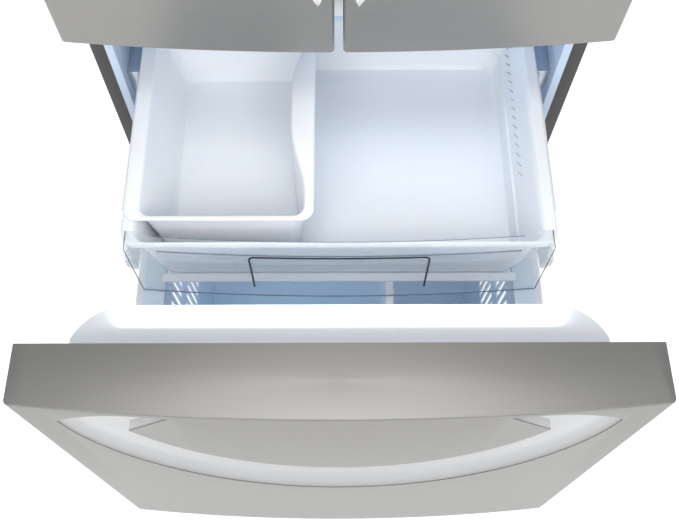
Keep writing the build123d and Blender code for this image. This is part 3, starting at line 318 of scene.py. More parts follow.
def rolled_steel(name):
    """Plated rail steel, rolled along its length."""
    finish = Finish(name, Metallic=0.92)
    streak = finish.grain((600.0, 7.0, 600.0), 2.0)
    finish.feed(
        Base_Color=finish.between(streak, (0.50, 0.54, 0.60), (0.68, 0.72, 0.78)),
        Roughness=finish.span(streak, 0.24, 0.40),
    )
    finish.relief(streak, 0.00004, 0.4)
    return finish.material


def moulded(name, base, rough=0.36, texture=0.00003, soft=0.0):
    """Injection-moulded plastic: faint flow marks and a fine satin texture."""
    finish = Finish(name, Specular_IOR_Level=0.45, Subsurface_Weight=soft, Subsurface_Scale=0.004)
    flow = finish.grain((5.0, 5.0, 9.0), 2.0)
    fine = finish.grain((1400.0, 1400.0, 1400.0), 2.0)
    finish.feed(
        Base_Color=finish.between(flow, shade(base, 0.965), shade(base, 1.035)),
        Roughness=finish.span(flow * 0.5 + fine * 0.5, rough - 0.06, rough + 0.06),
    )
    finish.relief(fine, texture, 0.4)
    return finish.material


def see_through(name, base, flat_alpha, edge_alpha, rough=0.06):
    """Clear moulded plastic or glass, denser where it is seen edge on."""
    finish = Finish(name, Specular_IOR_Level=0.7, IOR=1.49)
    facing = finish.node("ShaderNodeLayerWeight", {}, {"Blend": 0.42}, "Facing")
    flow = finish.grain((4.0, 4.0, 11.0), 2.0)
    finish.feed(
        Base_Color=finish.between(flow, shade(base, 0.94), shade(base, 1.06)),
        Alpha=finish.span(facing * facing * facing, flat_alpha, edge_alpha) + flow * 0.04,
        Roughness=finish.span(flow, rough, rough + 0.05),
    )
    finish.relief(flow, 0.0004, 0.15)
    return finish.material


def rubbery(name, base):
    """Soft seal profile with a dusty sheen."""
    finish = Finish(name, Specular_IOR_Level=0.35, Sheen_Weight=0.15)
    dust = finish.grain((60.0, 60.0, 60.0), 3.0)
    finish.feed(
        Base_Color=finish.between(dust, shade(base, 0.9), shade(base, 1.06)),
        Roughness=finish.span(dust, 0.50, 0.68),
    )
    finish.relief(dust, 0.0001, 0.3)
    return finish.material


def foamed(name, base):
    """Rigid foam with open cells and a skin that has yellowed unevenly."""
    finish = Finish(name, Specular_IOR_Level=0.2)
    bubbles = finish.cells(420.0)
    broad = finish.grain((8.0, 8.0, 8.0), 3.0)
    finish.feed(
        Base_Color=finish.between(broad, shade(base, 0.82), shade(base, 1.12)),
        Roughness=finish.span(bubbles, 0.78, 0.95),
    )
    finish.relief(bubbles, 0.0005, 0.5)
    return finish.material


FINISHES = {}


def make_finishes():
    """Every finish of the refrigerator, by the name that the pieces use."""
    c = colours()
    FINISHES.update(
        steel=brushed_steel("Brushed stainless", tuple(c.steel), "X", 0.72, 0.40),
        case=painted("Cabinet enamel", tuple(c.case), 0.46, 0.00010),
        zinc=galvanised("Galvanised sheet"),
        rail=rolled_steel("Rail steel"),
        plastic=moulded("White plastic", tuple(c.plastic), soft=0.05),
        # Painted shade: the freezer's white plastic in a darker blue copy, for the blue-lit shade
        # inside it
        shaded=moulded("White plastic with painted blue shade", tuple(c.shaded), 0.34),
        clear=see_through("Clear plastic", tuple(c.clear), 0.05, 0.46),
        # Painted shade: dark, nearly opaque clear plastic for the strips that stand in for the dark
        # look of clear plastic edges
        edge=see_through("Clear plastic edge shade", (0.16, 0.21, 0.28), 0.66, 0.92),
        glass=see_through("Tempered glass", (0.66, 0.82, 0.78), 0.16, 0.80, 0.03),
        # Painted shade: the basket's blue colour stands in for the blue-lit shade under the upper
        # drawer
        basket=moulded("Basket plastic with painted blue shade", (0.66, 0.76, 0.86), 0.34),
        flap=painted("Flap coating", (0.050, 0.049, 0.052), 0.40, 0.00005),
        seal=rubbery("Seal rubber", tuple(c.seal)),
        pocket=moulded("Silver scoop", tuple(c.pocket), 0.30, 0.00002),
        dark=moulded("Dark plastic", tuple(c.dark), 0.40, 0.00006),
        enamel=painted("Black enamel", (0.012, 0.012, 0.013), 0.24, 0.00004),
        coil=brushed_steel("Coil aluminium", (0.70, 0.71, 0.72), "Z", 0.9, 0.34),
        foot=moulded("Foot plastic", (0.05, 0.05, 0.055), 0.5, 0.0001),
        foam=foamed("Insulation foam", tuple(c.foam)),
    )


SLOT_FINISH = {
    "brushed_stainless": "steel",
    "case_paint": "case",
    "zinc_steel": "zinc",
    "rail_steel": "rail",
    "white_plastic": "plastic",
    "clear_plastic": "clear",
    "tempered_glass": "glass",
    "grey_seal": "seal",
    "pocket_plastic": "pocket",
    "dark_plastic": "dark",
    "black_enamel": "enamel",
    "coil_aluminium": "coil",
    "foot_plastic": "foot",
    "foam_insulation": "foam",
}
NODE_FINISH = {
    # Painted shade: the freezer liner, evaporator cover and lower basket take darker blue copies of
    # the white plastic
    "freezer_liner": "shaded",
    "evaporator_cover": "shaded",
    "lower_basket": "basket",
    "center_flap": "flap",
    "drawer_runners": "plastic",
    "intermediate_rails": "plastic",
}


def finish_of(node):
    """The material of a CAD node, from its slot unless it has its own."""
    return FINISHES[NODE_FINISH.get(node) or SLOT_FINISH[RECORD_SLOTS[node]]]


# Mesh helpers -------------------------------------------------------------------------------


def add_piece(name, bm, node, finish=None, smooth=34.0, replace=True):
    """Makes a piece that rides with a CAD node's body, in the finish of the node's slot unless another
    finish is given, and hides the node when it replaces it.
    """
    mesh = bpy.data.meshes.new(name)
    bm.to_mesh(mesh)
    bm.free()
    mesh.shade_smooth()
    mesh.set_sharp_from_angle(angle=math.radians(smooth))
    mesh.materials.append(FINISHES[finish] if finish else finish_of(node))
    piece = bpy.data.objects.new(name, mesh)
    bpy.context.scene.collection.objects.link(piece)
    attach(piece, BODY_OF[node])
    if replace:
        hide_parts(node)
    return piece


def walled(piece, thickness):
    """Gives an open shell its wall, away from its faces' front."""
    wall = piece.modifiers.new("Wall", "SOLIDIFY")
    wall.thickness = thickness
    wall.offset = -1.0
    wall.use_even_offset = True
    return piece


def rounded(piece, width, segments=2, angle=40.0):
    """Rounds the edges that are sharper than an angle."""
    bevel = piece.modifiers.new("Edges", "BEVEL")
    bevel.width = width
    bevel.segments = segments
    bevel.limit_method = "ANGLE"
    bevel.angle_limit = math.radians(angle)
    bevel.use_clamp_overlap = True
    return piece


def shapes_of(geom, kind):
    return [g for g in geom if isinstance(g, kind)]


def round_edges(bm, edges, width, segments=2):
    """Bevels edges with the editor's usual settings."""
    return bmesh.ops.bevel(
        bm, geom=list(edges), offset=width, offset_type="OFFSET", segments=segments,
        profile=0.5, affect="EDGES", material=-1, clamp_overlap=True
    )


def sharp_edges(bm, degrees):
    """Edges whose two faces meet at more than an angle."""
    limit = math.radians(degrees)
    return [e for e in bm.edges if len(e.link_faces) == 2 and e.calc_face_angle(0.0) > limit]


def face_towards(bm, direction):
    """Turns an open shell so that its largest face looks in a direction."""
    bmesh.ops.recalc_face_normals(bm, faces=bm.faces)
    largest = max(bm.faces, key=lambda f: f.calc_area() * abs(f.normal.dot(direction)))
    if largest.normal.dot(direction) < 0.0:
        bmesh.ops.reverse_faces(bm, faces=bm.faces)


def shifted(value, low, high, new_low, new_high):
    """A coordinate moved along with the nearer end of its span."""
    return value + (new_low - low if value < (low + high) / 2.0 else new_high - high)


def walk_rim(bm, loops, corner, segments=5, cap=True, closed=False):
    """Joins rounded rectangles (x0, x1, y0, y1, z) by drawing the rim from one to the next."""
    old = set(bm.edges)
    x0, x1, y0, y1, z = loops[0]
    verts = [bm.verts.new(c) for c in ((x0, y0, z), (x1, y0, z), (x1, y1, z), (x0, y1, z))]
    bm.faces.new(verts)
    bmesh.ops.bevel(
        bm, geom=verts, offset=corner, offset_type="OFFSET", segments=segments, profile=0.5,
        affect="VERTICES", material=-1, clamp_overlap=True
    )
    edges = [e for e in bm.edges if e not in old]
    if not cap:
        faces = {f for e in edges for f in e.link_faces}
        bmesh.ops.delete(bm, geom=list(faces), context="FACES_ONLY")
    for (a0, a1, b0, b1, _), (c0, c1, d0, d1, height) in zip(loops, loops[1:]):
        made = bmesh.ops.extrude_edge_only(bm, edges=edges)["geom"]
        fresh = set(shapes_of(made, bmesh.types.BMVert))
        for v in fresh:
            v.co = (
                shifted(v.co.x, a0, a1, c0, c1), shifted(v.co.y, b0, b1, d0, d1), height
            )
        edges = [e for e in shapes_of(made, bmesh.types.BMEdge) if set(e.verts) <= fresh]
    if closed:
        bmesh.ops.remove_doubles(bm, verts=bm.verts, dist=1e-6)
    return edges


def stand_up(bm):
    """Turns shapes drawn in x, y and height into shapes drawn in x, z and depth."""
    for v in bm.verts:
        v.co = (v.co.x, v.co.z, v.co.y)


def block(bm, x0, x1, y0, y1, z0, z1):
    """A box between two corners."""
    size = Vector((x1 - x0, y1 - y0, z1 - z0))
    middle = Vector((x0 + x1, y0 + y1, z0 + z1)) / 2.0
    place = Matrix.Translation(middle) @ Matrix.Diagonal((*size, 1.0))
    return bmesh.ops.create_cube(bm, size=1.0, matrix=place)["verts"]


def slices(bm, axis, low, high, pitch):
    """Cuts the mesh into strips across an axis, so that it can follow a curve."""
    count = max(2, round((high - low) / pitch))
    normal = Vector([1.0 if i == axis else 0.0 for i in range(3)])
    for i in range(1, count):
        bmesh.ops.bisect_plane(
            bm, geom=bm.verts[:] + bm.edges[:] + bm.faces[:],
            plane_co=normal * (low + i * (high - low) / count), plane_no=normal
        )


def arc(bm, start, middle, end, steps):
    """Edges on the circle through three points, drawn flat."""
    (ax, ay), (bx, by), (cx, cy) = start, middle, end
    d = 2.0 * (ax * (by - cy) + bx * (cy - ay) + cx * (ay - by))
    a2, b2, c2 = ax * ax + ay * ay, bx * bx + by * by, cx * cx + cy * cy
    ux = (a2 * (by - cy) + b2 * (cy - ay) + c2 * (ay - by)) / d
    uy = (a2 * (cx - bx) + b2 * (ax - cx) + c2 * (bx - ax)) / d
    turn = [math.atan2(y - uy, x - ux) for x, y in (start, middle, end)]
    full = 2.0 * math.pi
    whole = (turn[2] - turn[0]) % full
    if (turn[1] - turn[0]) % full > whole:
        whole -= full
    first = bm.verts.new((ax, ay, 0.0))
    bmesh.ops.spin(
        bm, geom=[first], cent=(ux, uy, 0.0), axis=(0.0, 0.0, 1.0), angle=whole, steps=steps,
        use_duplicate=False
    )


def side_line(bm, start, end, steps):
    """A straight run of edges."""
    verts = [bm.verts.new((*start, 0.0)), bm.verts.new((*end, 0.0))]
    edge = bm.edges.new(verts)
    bmesh.ops.subdivide_edges(bm, edges=[edge], cuts=steps - 1)


def mouth_outline(bm, form):
    """Outline of a scoop: a straight edge, rounded shoulders and a long bulging arc."""
    half, flat, tip, bulge = form
    shoulder = (flat + 0.64 * (half - flat), -0.2 * tip)
    side_line(bm, (-flat, 0.0), (flat, 0.0), 24)
    arc(bm, (flat, 0.0), shoulder, (half, -tip), 8)
    arc(bm, (half, -tip), (0.0, -bulge), (-half, -tip), 64)
    arc(bm, (-half, -tip), (-shoulder[0], shoulder[1]), (-flat, 0.0), 8)
    bmesh.ops.remove_doubles(bm, verts=bm.verts, dist=1e-6)


def lip_outline(bm, form, rise):
    """Outline of the lip that hangs over a scoop."""
    half, flat, tip, bulge = form
    side_line(bm, (-flat, rise), (flat, rise), 16)
    side_line(bm, (flat, rise), (half, -tip), 4)
    arc(bm, (half, -tip), (0.0, -bulge), (-half, -tip), 48)
    side_line(bm, (-half, -tip), (-flat, rise), 4)
    bmesh.ops.remove_doubles(bm, verts=bm.verts, dist=1e-6)


def prism(outline, form, depth0, depth1, *extra):
    """A flat outline carried from one depth to another, as a closed solid."""
    bm = bmesh.new()
    outline(bm, form, *extra)
    bmesh.ops.edgeloop_fill(bm, edges=bm.edges)
    made = bmesh.ops.extrude_face_region(bm, geom=bm.faces[:])["geom"]
    far = set(shapes_of(made, bmesh.types.BMVert))
    for v in bm.verts:
        v.co.z = depth1 if v in far else depth0
    return bm


class Front:
    """The bowed outer surface of a door or of the drawer, and where its scoop is."""

    def __init__(self, node, kind):
        self.low, self.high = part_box(node)
        self.node = node
        self.kind = kind
        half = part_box("drawer_skin")[1].x
        self.radius = (half**2 + sizes().bow ** 2) / (2.0 * sizes().bow)

    def surface(self, x, inset=0.0):
        """Depth of the front at a distance from the middle."""
        radius = self.radius - inset
        return self.low.y + self.radius - math.sqrt(radius * radius - x * x)

    def place(self, u, v):
        """Where a point of the scoop's flat drawing is, as x and z."""
        if self.kind == "drawer":
            return u, self.high.z - DRAWER_MOUTH_DROP + v
        side = 1.0 if self.high.x > 0.1 else -1.0
        inner = min(abs(self.low.x), abs(self.high.x))
        return side * (inner + DOOR_MOUTH_INSET - v), DOOR_MOUTH_Z + u

    def settle(self, bm):
        """Moves a drawing into place; its depth stays what it was."""
        for vert in bm.verts:
            x, z = self.place(vert.co.x, vert.co.y)
            vert.co = (x, vert.co.z, z)


def object_from(bm, name):
    """A plain object for a Boolean."""
    bmesh.ops.recalc_face_normals(bm, faces=bm.faces)
    mesh = bpy.data.meshes.new(name)
    bm.to_mesh(mesh)
    bm.free()
    made = bpy.data.objects.new(name, mesh)
    bpy.context.scene.collection.objects.link(made)
    return made


def carve(piece, cutter, operation="DIFFERENCE"):
    """Applies a Boolean and throws the cutter away."""
    cut = piece.modifiers.new("Cut", "BOOLEAN")
    cut.operation = operation
    cut.solver = "EXACT"
    cut.object = cutter
    bpy.context.view_layer.update()
    graph = bpy.context.evaluated_depsgraph_get()
    mesh = bpy.data.meshes.new_from_object(piece.evaluated_get(graph))
    piece.modifiers.clear()
    old, piece.data = piece.data, mesh
    bpy.data.meshes.remove(old)
    bpy.data.objects.remove(cutter)
    mesh.shade_smooth()
    mesh.set_sharp_from_angle(angle=math.radians(34.0))
    return piece


# Fronts -------------------------------------------------------------------------------------


def front_sheet(front):
    """Folded steel front, open at the back."""
    low, high = front.low, front.high
    bm = bmesh.new()
    corners = ((low.x, low.z), (high.x, low.z), (high.x, high.z), (low.x, high.z))
    bm.faces.new([bm.verts.new((x, 0.0, z)) for x, z in corners])
    slices(bm, 0, low.x, high.x, 0.018)
    for v in bm.verts:
        v.co.y = front.surface(v.co.x)
    rim = [e for e in bm.edges if e.is_boundary]
    made = bmesh.ops.extrude_edge_only(bm, edges=rim)["geom"]
    for v in shapes_of(made, bmesh.types.BMVert):
        v.co.y = high.y
    upright = [
        e for e in bm.edges
        if not e.is_boundary and e.calc_length() > 0.5 and e.calc_face_angle(0.0) > 1.0
    ]
    round_edges(bm, upright, sizes().corner, 5)
    level = [
        e for e in sharp_edges(bm, 60.0)
        if not e.is_boundary and abs(e.verts[0].co.z - e.verts[1].co.z) < 1e-5
    ]
    round_edges(bm, level, sizes().fold, 3)
    face_towards(bm, Vector((0.0, -1.0, 0.0)))
    return bm


def build_front(node, kind, mouth, lip):
    """One steel front with the crescent cut out round its lip."""
    front = Front(node, kind)
    piece = add_piece(node.replace("skin", "front"), front_sheet(front), node)
    walled(piece, sizes().sheet)
    start, end = front.low.y - 0.01, front.low.y + 0.045
    opening = prism(mouth_outline, mouth, start, end)
    front.settle(opening)
    held = prism(lip_outline, lip, start - 0.01, end + 0.01, 0.004)
    front.settle(held)
    cutter = carve(object_from(opening, "Opening"), object_from(held, "Held back"))
    carve(piece, cutter)


def build_scoop(skin, kind, mouth, lip, slope):
    """Moulded lining of a handle scoop and the core of its lip."""
    front = Front(skin, kind)
    sheet = sizes().sheet
    half, _, _, bulge = mouth
    bm = bmesh.new()
    mouth_outline(bm, mouth)
    made = bmesh.ops.extrude_edge_only(bm, edges=bm.edges[:])["geom"]
    floor = set(shapes_of(made, bmesh.types.BMVert))
    for v in floor:
        v.co.x *= (half - slope - 0.003) / half
        v.co.y = v.co.y * (bulge - slope - 0.008) / bulge - 0.005
    edges = [e for e in shapes_of(made, bmesh.types.BMEdge) if set(e.verts) <= floor]
    bmesh.ops.edgeloop_fill(bm, edges=edges)
    for v in bm.verts:
        v.co.z = 1.0 if v in floor else 0.0
    front.settle(bm)
    bottom = front.low.y + sizes().scoop_depth
    for v in bm.verts:
        v.co.y = bottom if v.co.y > 0.5 else front.surface(v.co.x, sheet)
    face_towards(bm, Vector((0.0, -1.0, 0.0)))
    base = [e for e in sharp_edges(bm, 18.0) if all(abs(v.co.y - bottom) < 1e-6 for v in e.verts)]
    round_edges(bm, base, 0.014, 5)
    node = skin.replace("skin", "pocket")
    lining = add_piece(skin.replace("skin", "scoop"), bm, node)
    walled(lining, 0.0016)

    core = prism(lip_outline, lip, 0.0, 1.0, 0.0)
    front.settle(core)
    low_x = min(v.co.x for v in core.verts)
    high_x = max(v.co.x for v in core.verts)
    slices(core, 0, low_x, high_x, 0.018)
    for v in core.verts:
        v.co.y = front.surface(v.co.x, sizes().lip_thick if v.co.y > 0.5 else sheet)
    bmesh.ops.recalc_face_normals(core, faces=core.faces)
    round_edges(core, sharp_edges(core, 60.0), 0.0022, 3)
    add_piece(skin.replace("skin", "lip"), core, node, replace=False)


SEAL_SECTION = (
    (0.0, 0.0), (0.0, 0.55), (0.10, 0.80), (0.22, 0.80), (0.30, 0.45), (0.38, 0.45), (0.46, 0.95),
    (0.60, 1.0), (0.74, 0.95), (0.82, 0.5), (0.90, 0.5), (0.96, 0.75), (1.0, 0.4), (1.0, 0.0),
)
SEAL_BAR = 0.014


def build_seal(node):
    """Ribbed magnetic seal all round a door or the drawer."""
    low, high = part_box(node)
    depth = high.y - low.y
    loops = []
    for across, proud in (*SEAL_SECTION, SEAL_SECTION[0]):
        inset = across * SEAL_BAR
        loops.append(
            (low.x + inset, high.x - inset, low.z + inset, high.z - inset, low.y + proud * depth)
        )
    bm = bmesh.new()
    walk_rim(bm, loops, 0.004, 3, cap=False, closed=True)
    stand_up(bm)
    bmesh.ops.recalc_face_normals(bm, faces=bm.faces)
    add_piece(node.replace("gasket", "seal"), bm, node, smooth=50.0)


# Upper freezer drawer -----------------------------------------------------------------------


def runner_bar(bm, outer, inner, y0, y1, top):
    """The rail member moulded to the tub's side, mirrored to both sides."""
    before = set(bm.verts)
    block(bm, inner, outer, y0, y1, 0.514, 0.546)
    block(bm, outer - 0.0002, outer + 0.0045, y0, y1, 0.5195, 0.5405)
    block(bm, inner + 0.0005, inner + 0.0055, y0, y1, 0.530, top)
    fresh = [v for v in bm.verts if v not in before]
    geom = fresh + [e for e in bm.edges if e.verts[0] not in before]
    geom += [f for f in bm.faces if f.verts[0] not in before]
    bmesh.ops.mirror(bm, geom=geom, axis="X", merge_dist=-1.0)


def build_tub():
    """White tub of the upper drawer with its rim, ledges, vent slots and rails."""
    low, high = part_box("upper_tub")
    y0, y1 = low.y, high.y
    half, wall = TUB_HALF, sizes().wall
    top, floor = TUB_RIM_Z, TUB_FLOOR_Z
    loops = [
        (-0.2425, 0.2425, y0 + 0.046, y1 - 0.056, floor + 0.0012),
        (-0.2460, 0.2460, y0 + 0.042, y1 - 0.052, floor),
        (-0.2620, 0.2620, y0 + 0.023, y1 - 0.033, floor + 0.0004),
        (-0.2680, 0.2680, y0 + 0.018, y1 - 0.028, floor + 0.005),
        (-0.2725, 0.2725, y0 + 0.014, y1 - 0.025, floor + 0.034),
        (-0.2755, 0.2755, y0 + 0.012, y1 - 0.023, floor + 0.0365),
        (-half + 0.0220, half - 0.0220, y0 + 0.0050, y1 - 0.0155, top - 0.010),
        (-half + 0.0195, half - 0.0195, y0 + 0.0036, y1 - 0.0135, top - 0.0025),
        (-half + 0.0170, half - 0.0170, y0 + 0.0026, y1 - 0.012, top),
        (-half + 0.003, half - 0.003, y0 + 0.0012, y1 - 0.002, top),
        (-half, half, y0, y1, top - 0.003),
        (-half, half, y0, y1, top - 0.012),
    ]
    bm = bmesh.new()
    walk_rim(bm, loops, 0.020, 6)
    face_towards(bm, Vector((0.0, 0.0, 1.0)))
    tub = add_piece("upper_tub_body", bm, "upper_tub", smooth=40.0)
    walled(tub, wall)
    slots = bmesh.new()
    for i in range(15):
        y = y1 - 0.040 - i * 0.0178
        place = Matrix.Translation((0.270, y, floor + 0.062))
        turn = Matrix.Rotation(math.radians(-38.0), 4, "X")
        size = Matrix.Diagonal((0.030, 0.0240, 0.0017, 1.0))
        bmesh.ops.create_cube(slots, size=1.0, matrix=place @ turn @ size)
    carve(tub, object_from(slots, "Slots"))
    rounded(tub, 0.0007, 2, 50.0)

    bars = bmesh.new()
    outer = high.x - 0.0045
    inner = outer - 0.011
    runner_bar(bars, outer, inner, y0, y1 - 0.004, top - 0.0125)
    rails = add_piece("upper_tub_rails", bars, "upper_tub", replace=False)
    rounded(rails, 0.0006)

    ledge = bmesh.new()
    block(ledge, -0.272, 0.272, y0 + 0.0004, y0 + 0.0142, floor - 0.002, floor + 0.0015)
    block(ledge, -0.266, 0.266, y0 + 0.0100, y0 + 0.0230, floor - 0.0075, floor - 0.0035)
    for side in (-1.0, 1.0):
        for x in (0.080, 0.200, 0.262):
            block(
                ledge, side * x - 0.002, side * x + 0.002, y0 + 0.002, y0 + 0.022,
                floor - 0.006, floor - 0.001
            )
    rounded(add_piece("upper_tub_ledge", ledge, "upper_tub", replace=False), 0.0006)


class ClearLine:
    """The bowed line of the clear drawer front."""

    def __init__(self):
        low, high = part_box("upper_front")
        self.low, self.high = low, high
        self.half = high.x
        self.bow = 0.0125
        self.radius = (self.half**2 + self.bow**2) / (2.0 * self.bow)

    def surface(self, x, inset=0.0):
        radius = self.radius - inset
        return self.low.y + self.radius - math.sqrt(radius * radius - x * x)


def build_clear_front():
    """Clear bowed front of the upper drawer with its side returns, and dark strips along its edges
    that paint the shade seen at clear plastic edges.
    """
    line = ClearLine()
    low, high = line.low, line.high
    bm = bmesh.new()
    corners = ((low.x, low.z), (high.x, low.z), (high.x, high.z), (low.x, high.z))
    bm.faces.new([bm.verts.new((x, 0.0, z)) for x, z in corners])
    slices(bm, 0, low.x, high.x, 0.016)
    for v in bm.verts:
        v.co.y = line.surface(v.co.x)
    sides = [e for e in bm.edges if e.is_boundary and e.calc_length() > 0.1]
    made = bmesh.ops.extrude_edge_only(bm, edges=sides)["geom"]
    for v in shapes_of(made, bmesh.types.BMVert):
        v.co.y = high.y
    upright = [
        e for e in bm.edges
        if not e.is_boundary and e.calc_length() > 0.1 and e.calc_face_angle(0.0) > 0.8
    ]
    round_edges(bm, upright, 0.007, 4)
    face_towards(bm, Vector((0.0, -1.0, 0.0)))
    front = add_piece("upper_clear_front", bm, "upper_front")
    walled(front, sizes().clear_wall)
    rounded(front, 0.0009, 2)

    rib = bmesh.new()
    block(rib, low.x + 0.012, high.x - 0.012, 0.0, 1.0, high.z - 0.030, high.z - 0.027)
    slices(rib, 0, low.x + 0.012, high.x - 0.012, 0.016)
    for v in rib.verts:
        inset = 0.0075 if v.co.y > 0.5 else sizes().clear_wall - 0.0002
        v.co.y = line.surface(v.co.x, inset)
    add_piece("upper_clear_rib", rib, "upper_front", replace=False)

    flange = bmesh.new()
    block(flange, low.x + 0.001, high.x - 0.001, 0.0, 1.0, high.z, high.z + 0.0022)
    slices(flange, 0, low.x + 0.001, high.x - 0.001, 0.016)
    for v in flange.verts:
        rear = v.co.y > 0.5
        v.co.y = line.surface(v.co.x, 0.0228 if rear else 0.0005)
        if rear and abs(v.co.x) > 0.268:
            v.co.y = TUB_FRONT_Y + 0.0195
    rounded(add_piece("upper_clear_flange", flange, "upper_front", replace=False), 0.0005)

    # Thin dark strips along the clear front's top, flange, bottom and sides: painted edge shade
    thin = sizes().clear_edge / 2.0
    for name, half, z, inset in (
        ("upper_clear_top_line", 0.254, high.z + 0.0022, 0.0),
        ("upper_clear_inner_line", 0.262, high.z + 0.0019, 0.0228),
        ("upper_clear_low_line", high.x, low.z, 0.0),
    ):
        bar = bmesh.new()
        width = thin * 0.6 if inset else thin
        block(bar, -half, half, -width, width, z - width, z + width)
        slices(bar, 0, -half, half, 0.016)
        for v in bar.verts:
            v.co.y += line.surface(v.co.x, inset)
        add_piece(name, bar, "upper_front", "edge", replace=False)
    lines = bmesh.new()
    for side in (-1.0, 1.0):
        x, y = side * high.x, line.surface(high.x)
        block(lines, x - thin, x + thin, y - thin, y + thin, low.z, high.z)
        block(
            lines, x - thin, x + thin, y, TUB_FRONT_Y + 0.0195,
            high.z + 0.0022 - thin, high.z + 0.0022 + thin
        )
    add_piece("upper_clear_side_lines", lines, "upper_front", "edge", replace=False)


def build_handle_outline():
    """Raised black outline of the pull on the clear front, in place of the CAD handle plate."""
    line = ClearLine()
    _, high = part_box("upper_handle_plate")
    wide = sizes().outline
    top, bottom = high.z + 0.002, high.z - 0.093
    bm = bmesh.new()
    half = high.x
    corners = ((-half, bottom), (half, bottom), (half, top), (-half, top))
    verts = [bm.verts.new((x, z, 0.0)) for x, z in corners]
    bm.faces.new(verts)
    bmesh.ops.bevel(
        bm, geom=verts[2:], offset=0.009, offset_type="OFFSET", segments=6, profile=0.5,
        affect="VERTICES", material=-1, clamp_overlap=True
    )
    made = bmesh.ops.inset_region(
        bm, faces=bm.faces[:], thickness=wide, use_boundary=True, use_even_offset=True
    )
    inner = [f for f in bm.faces if f not in made["faces"]]
    lower = [f for f in made["faces"] if all(v.co.y < bottom + 0.004 for v in f.verts)]
    bmesh.ops.delete(bm, geom=inner + lower, context="FACES")
    slices(bm, 0, -half, half, 0.016)
    made = bmesh.ops.extrude_face_region(bm, geom=bm.faces[:])["geom"]
    raised = set(shapes_of(made, bmesh.types.BMVert))
    for v in bm.verts:
        x, z = v.co.x, v.co.y
        v.co = (x, line.surface(x, -0.0011 if v in raised else 0.0004), z)
    bmesh.ops.recalc_face_normals(bm, faces=bm.faces)
    outline = add_piece("upper_handle_outline", bm, "upper_handle_plate", "dark")
    rounded(outline, 0.0003, 2)


# Ice bin, basket ----------------------------------------------------------------------------


def build_ice_bin():
    """Ice bin with a broad rim that swells inwards along its right side."""
    low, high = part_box("ice_bin")
    top, floor, wall = high.z, low.z, sizes().wall
    x0, x1, y0, y1 = low.x, high.x, low.y, high.y
    loops = [
        (x0 + 0.056, x1 - 0.033, y0 + 0.026, y1 - 0.030, floor + wall),
        (x0 + 0.049, x1 - 0.0265, y0 + 0.018, y1 - 0.022, floor + wall + 0.0008),
        (x0 + 0.0445, x1 - 0.0240, y0 + 0.014, y1 - 0.018, floor + wall + 0.006),
        (x0 + 0.0235, x1 - 0.0145, y0 + 0.0075, y1 - 0.0100, top - 0.006),
        (x0 + 0.0220, x1 - 0.0130, y0 + 0.0062, y1 - 0.0085, top - 0.0015),
        (x0 + 0.0200, x1 - 0.0110, y0 + 0.0046, y1 - 0.0070, top),
        (x0 + 0.0015, x1 - 0.0015, y0 + 0.0010, y1 - 0.0015, top),
        (x0, x1, y0, y1, top - 0.0015),
        (x0, x1, y0, y1, top - 0.0045),
    ]
    bm = bmesh.new()
    walk_rim(bm, loops, 0.018, 6)
    slices(bm, 1, y0, y1, 0.014)
    for v in bm.verts:
        ahead = (v.co.y - y0 - 0.044) / 0.117
        behind = (y0 + 0.344 - v.co.y) / 0.105
        near = max(0.0, min(1.0, ahead, behind))
        swell = 0.0215 * near * near * (3.0 - 2.0 * near)
        if v.co.x > x1 - 0.020 and v.co.x < x1 - 0.009:
            v.co.x -= swell
        elif v.co.x > x1 - 0.030 and v.co.x <= x1 - 0.020:
            v.co.x -= 0.45 * swell
    face_towards(bm, Vector((0.0, 0.0, 1.0)))
    tray = add_piece("ice_bin_body", bm, "ice_bin", smooth=42.0)
    walled(tray, wall)
    rounded(tray, 0.0006, 2, 50.0)


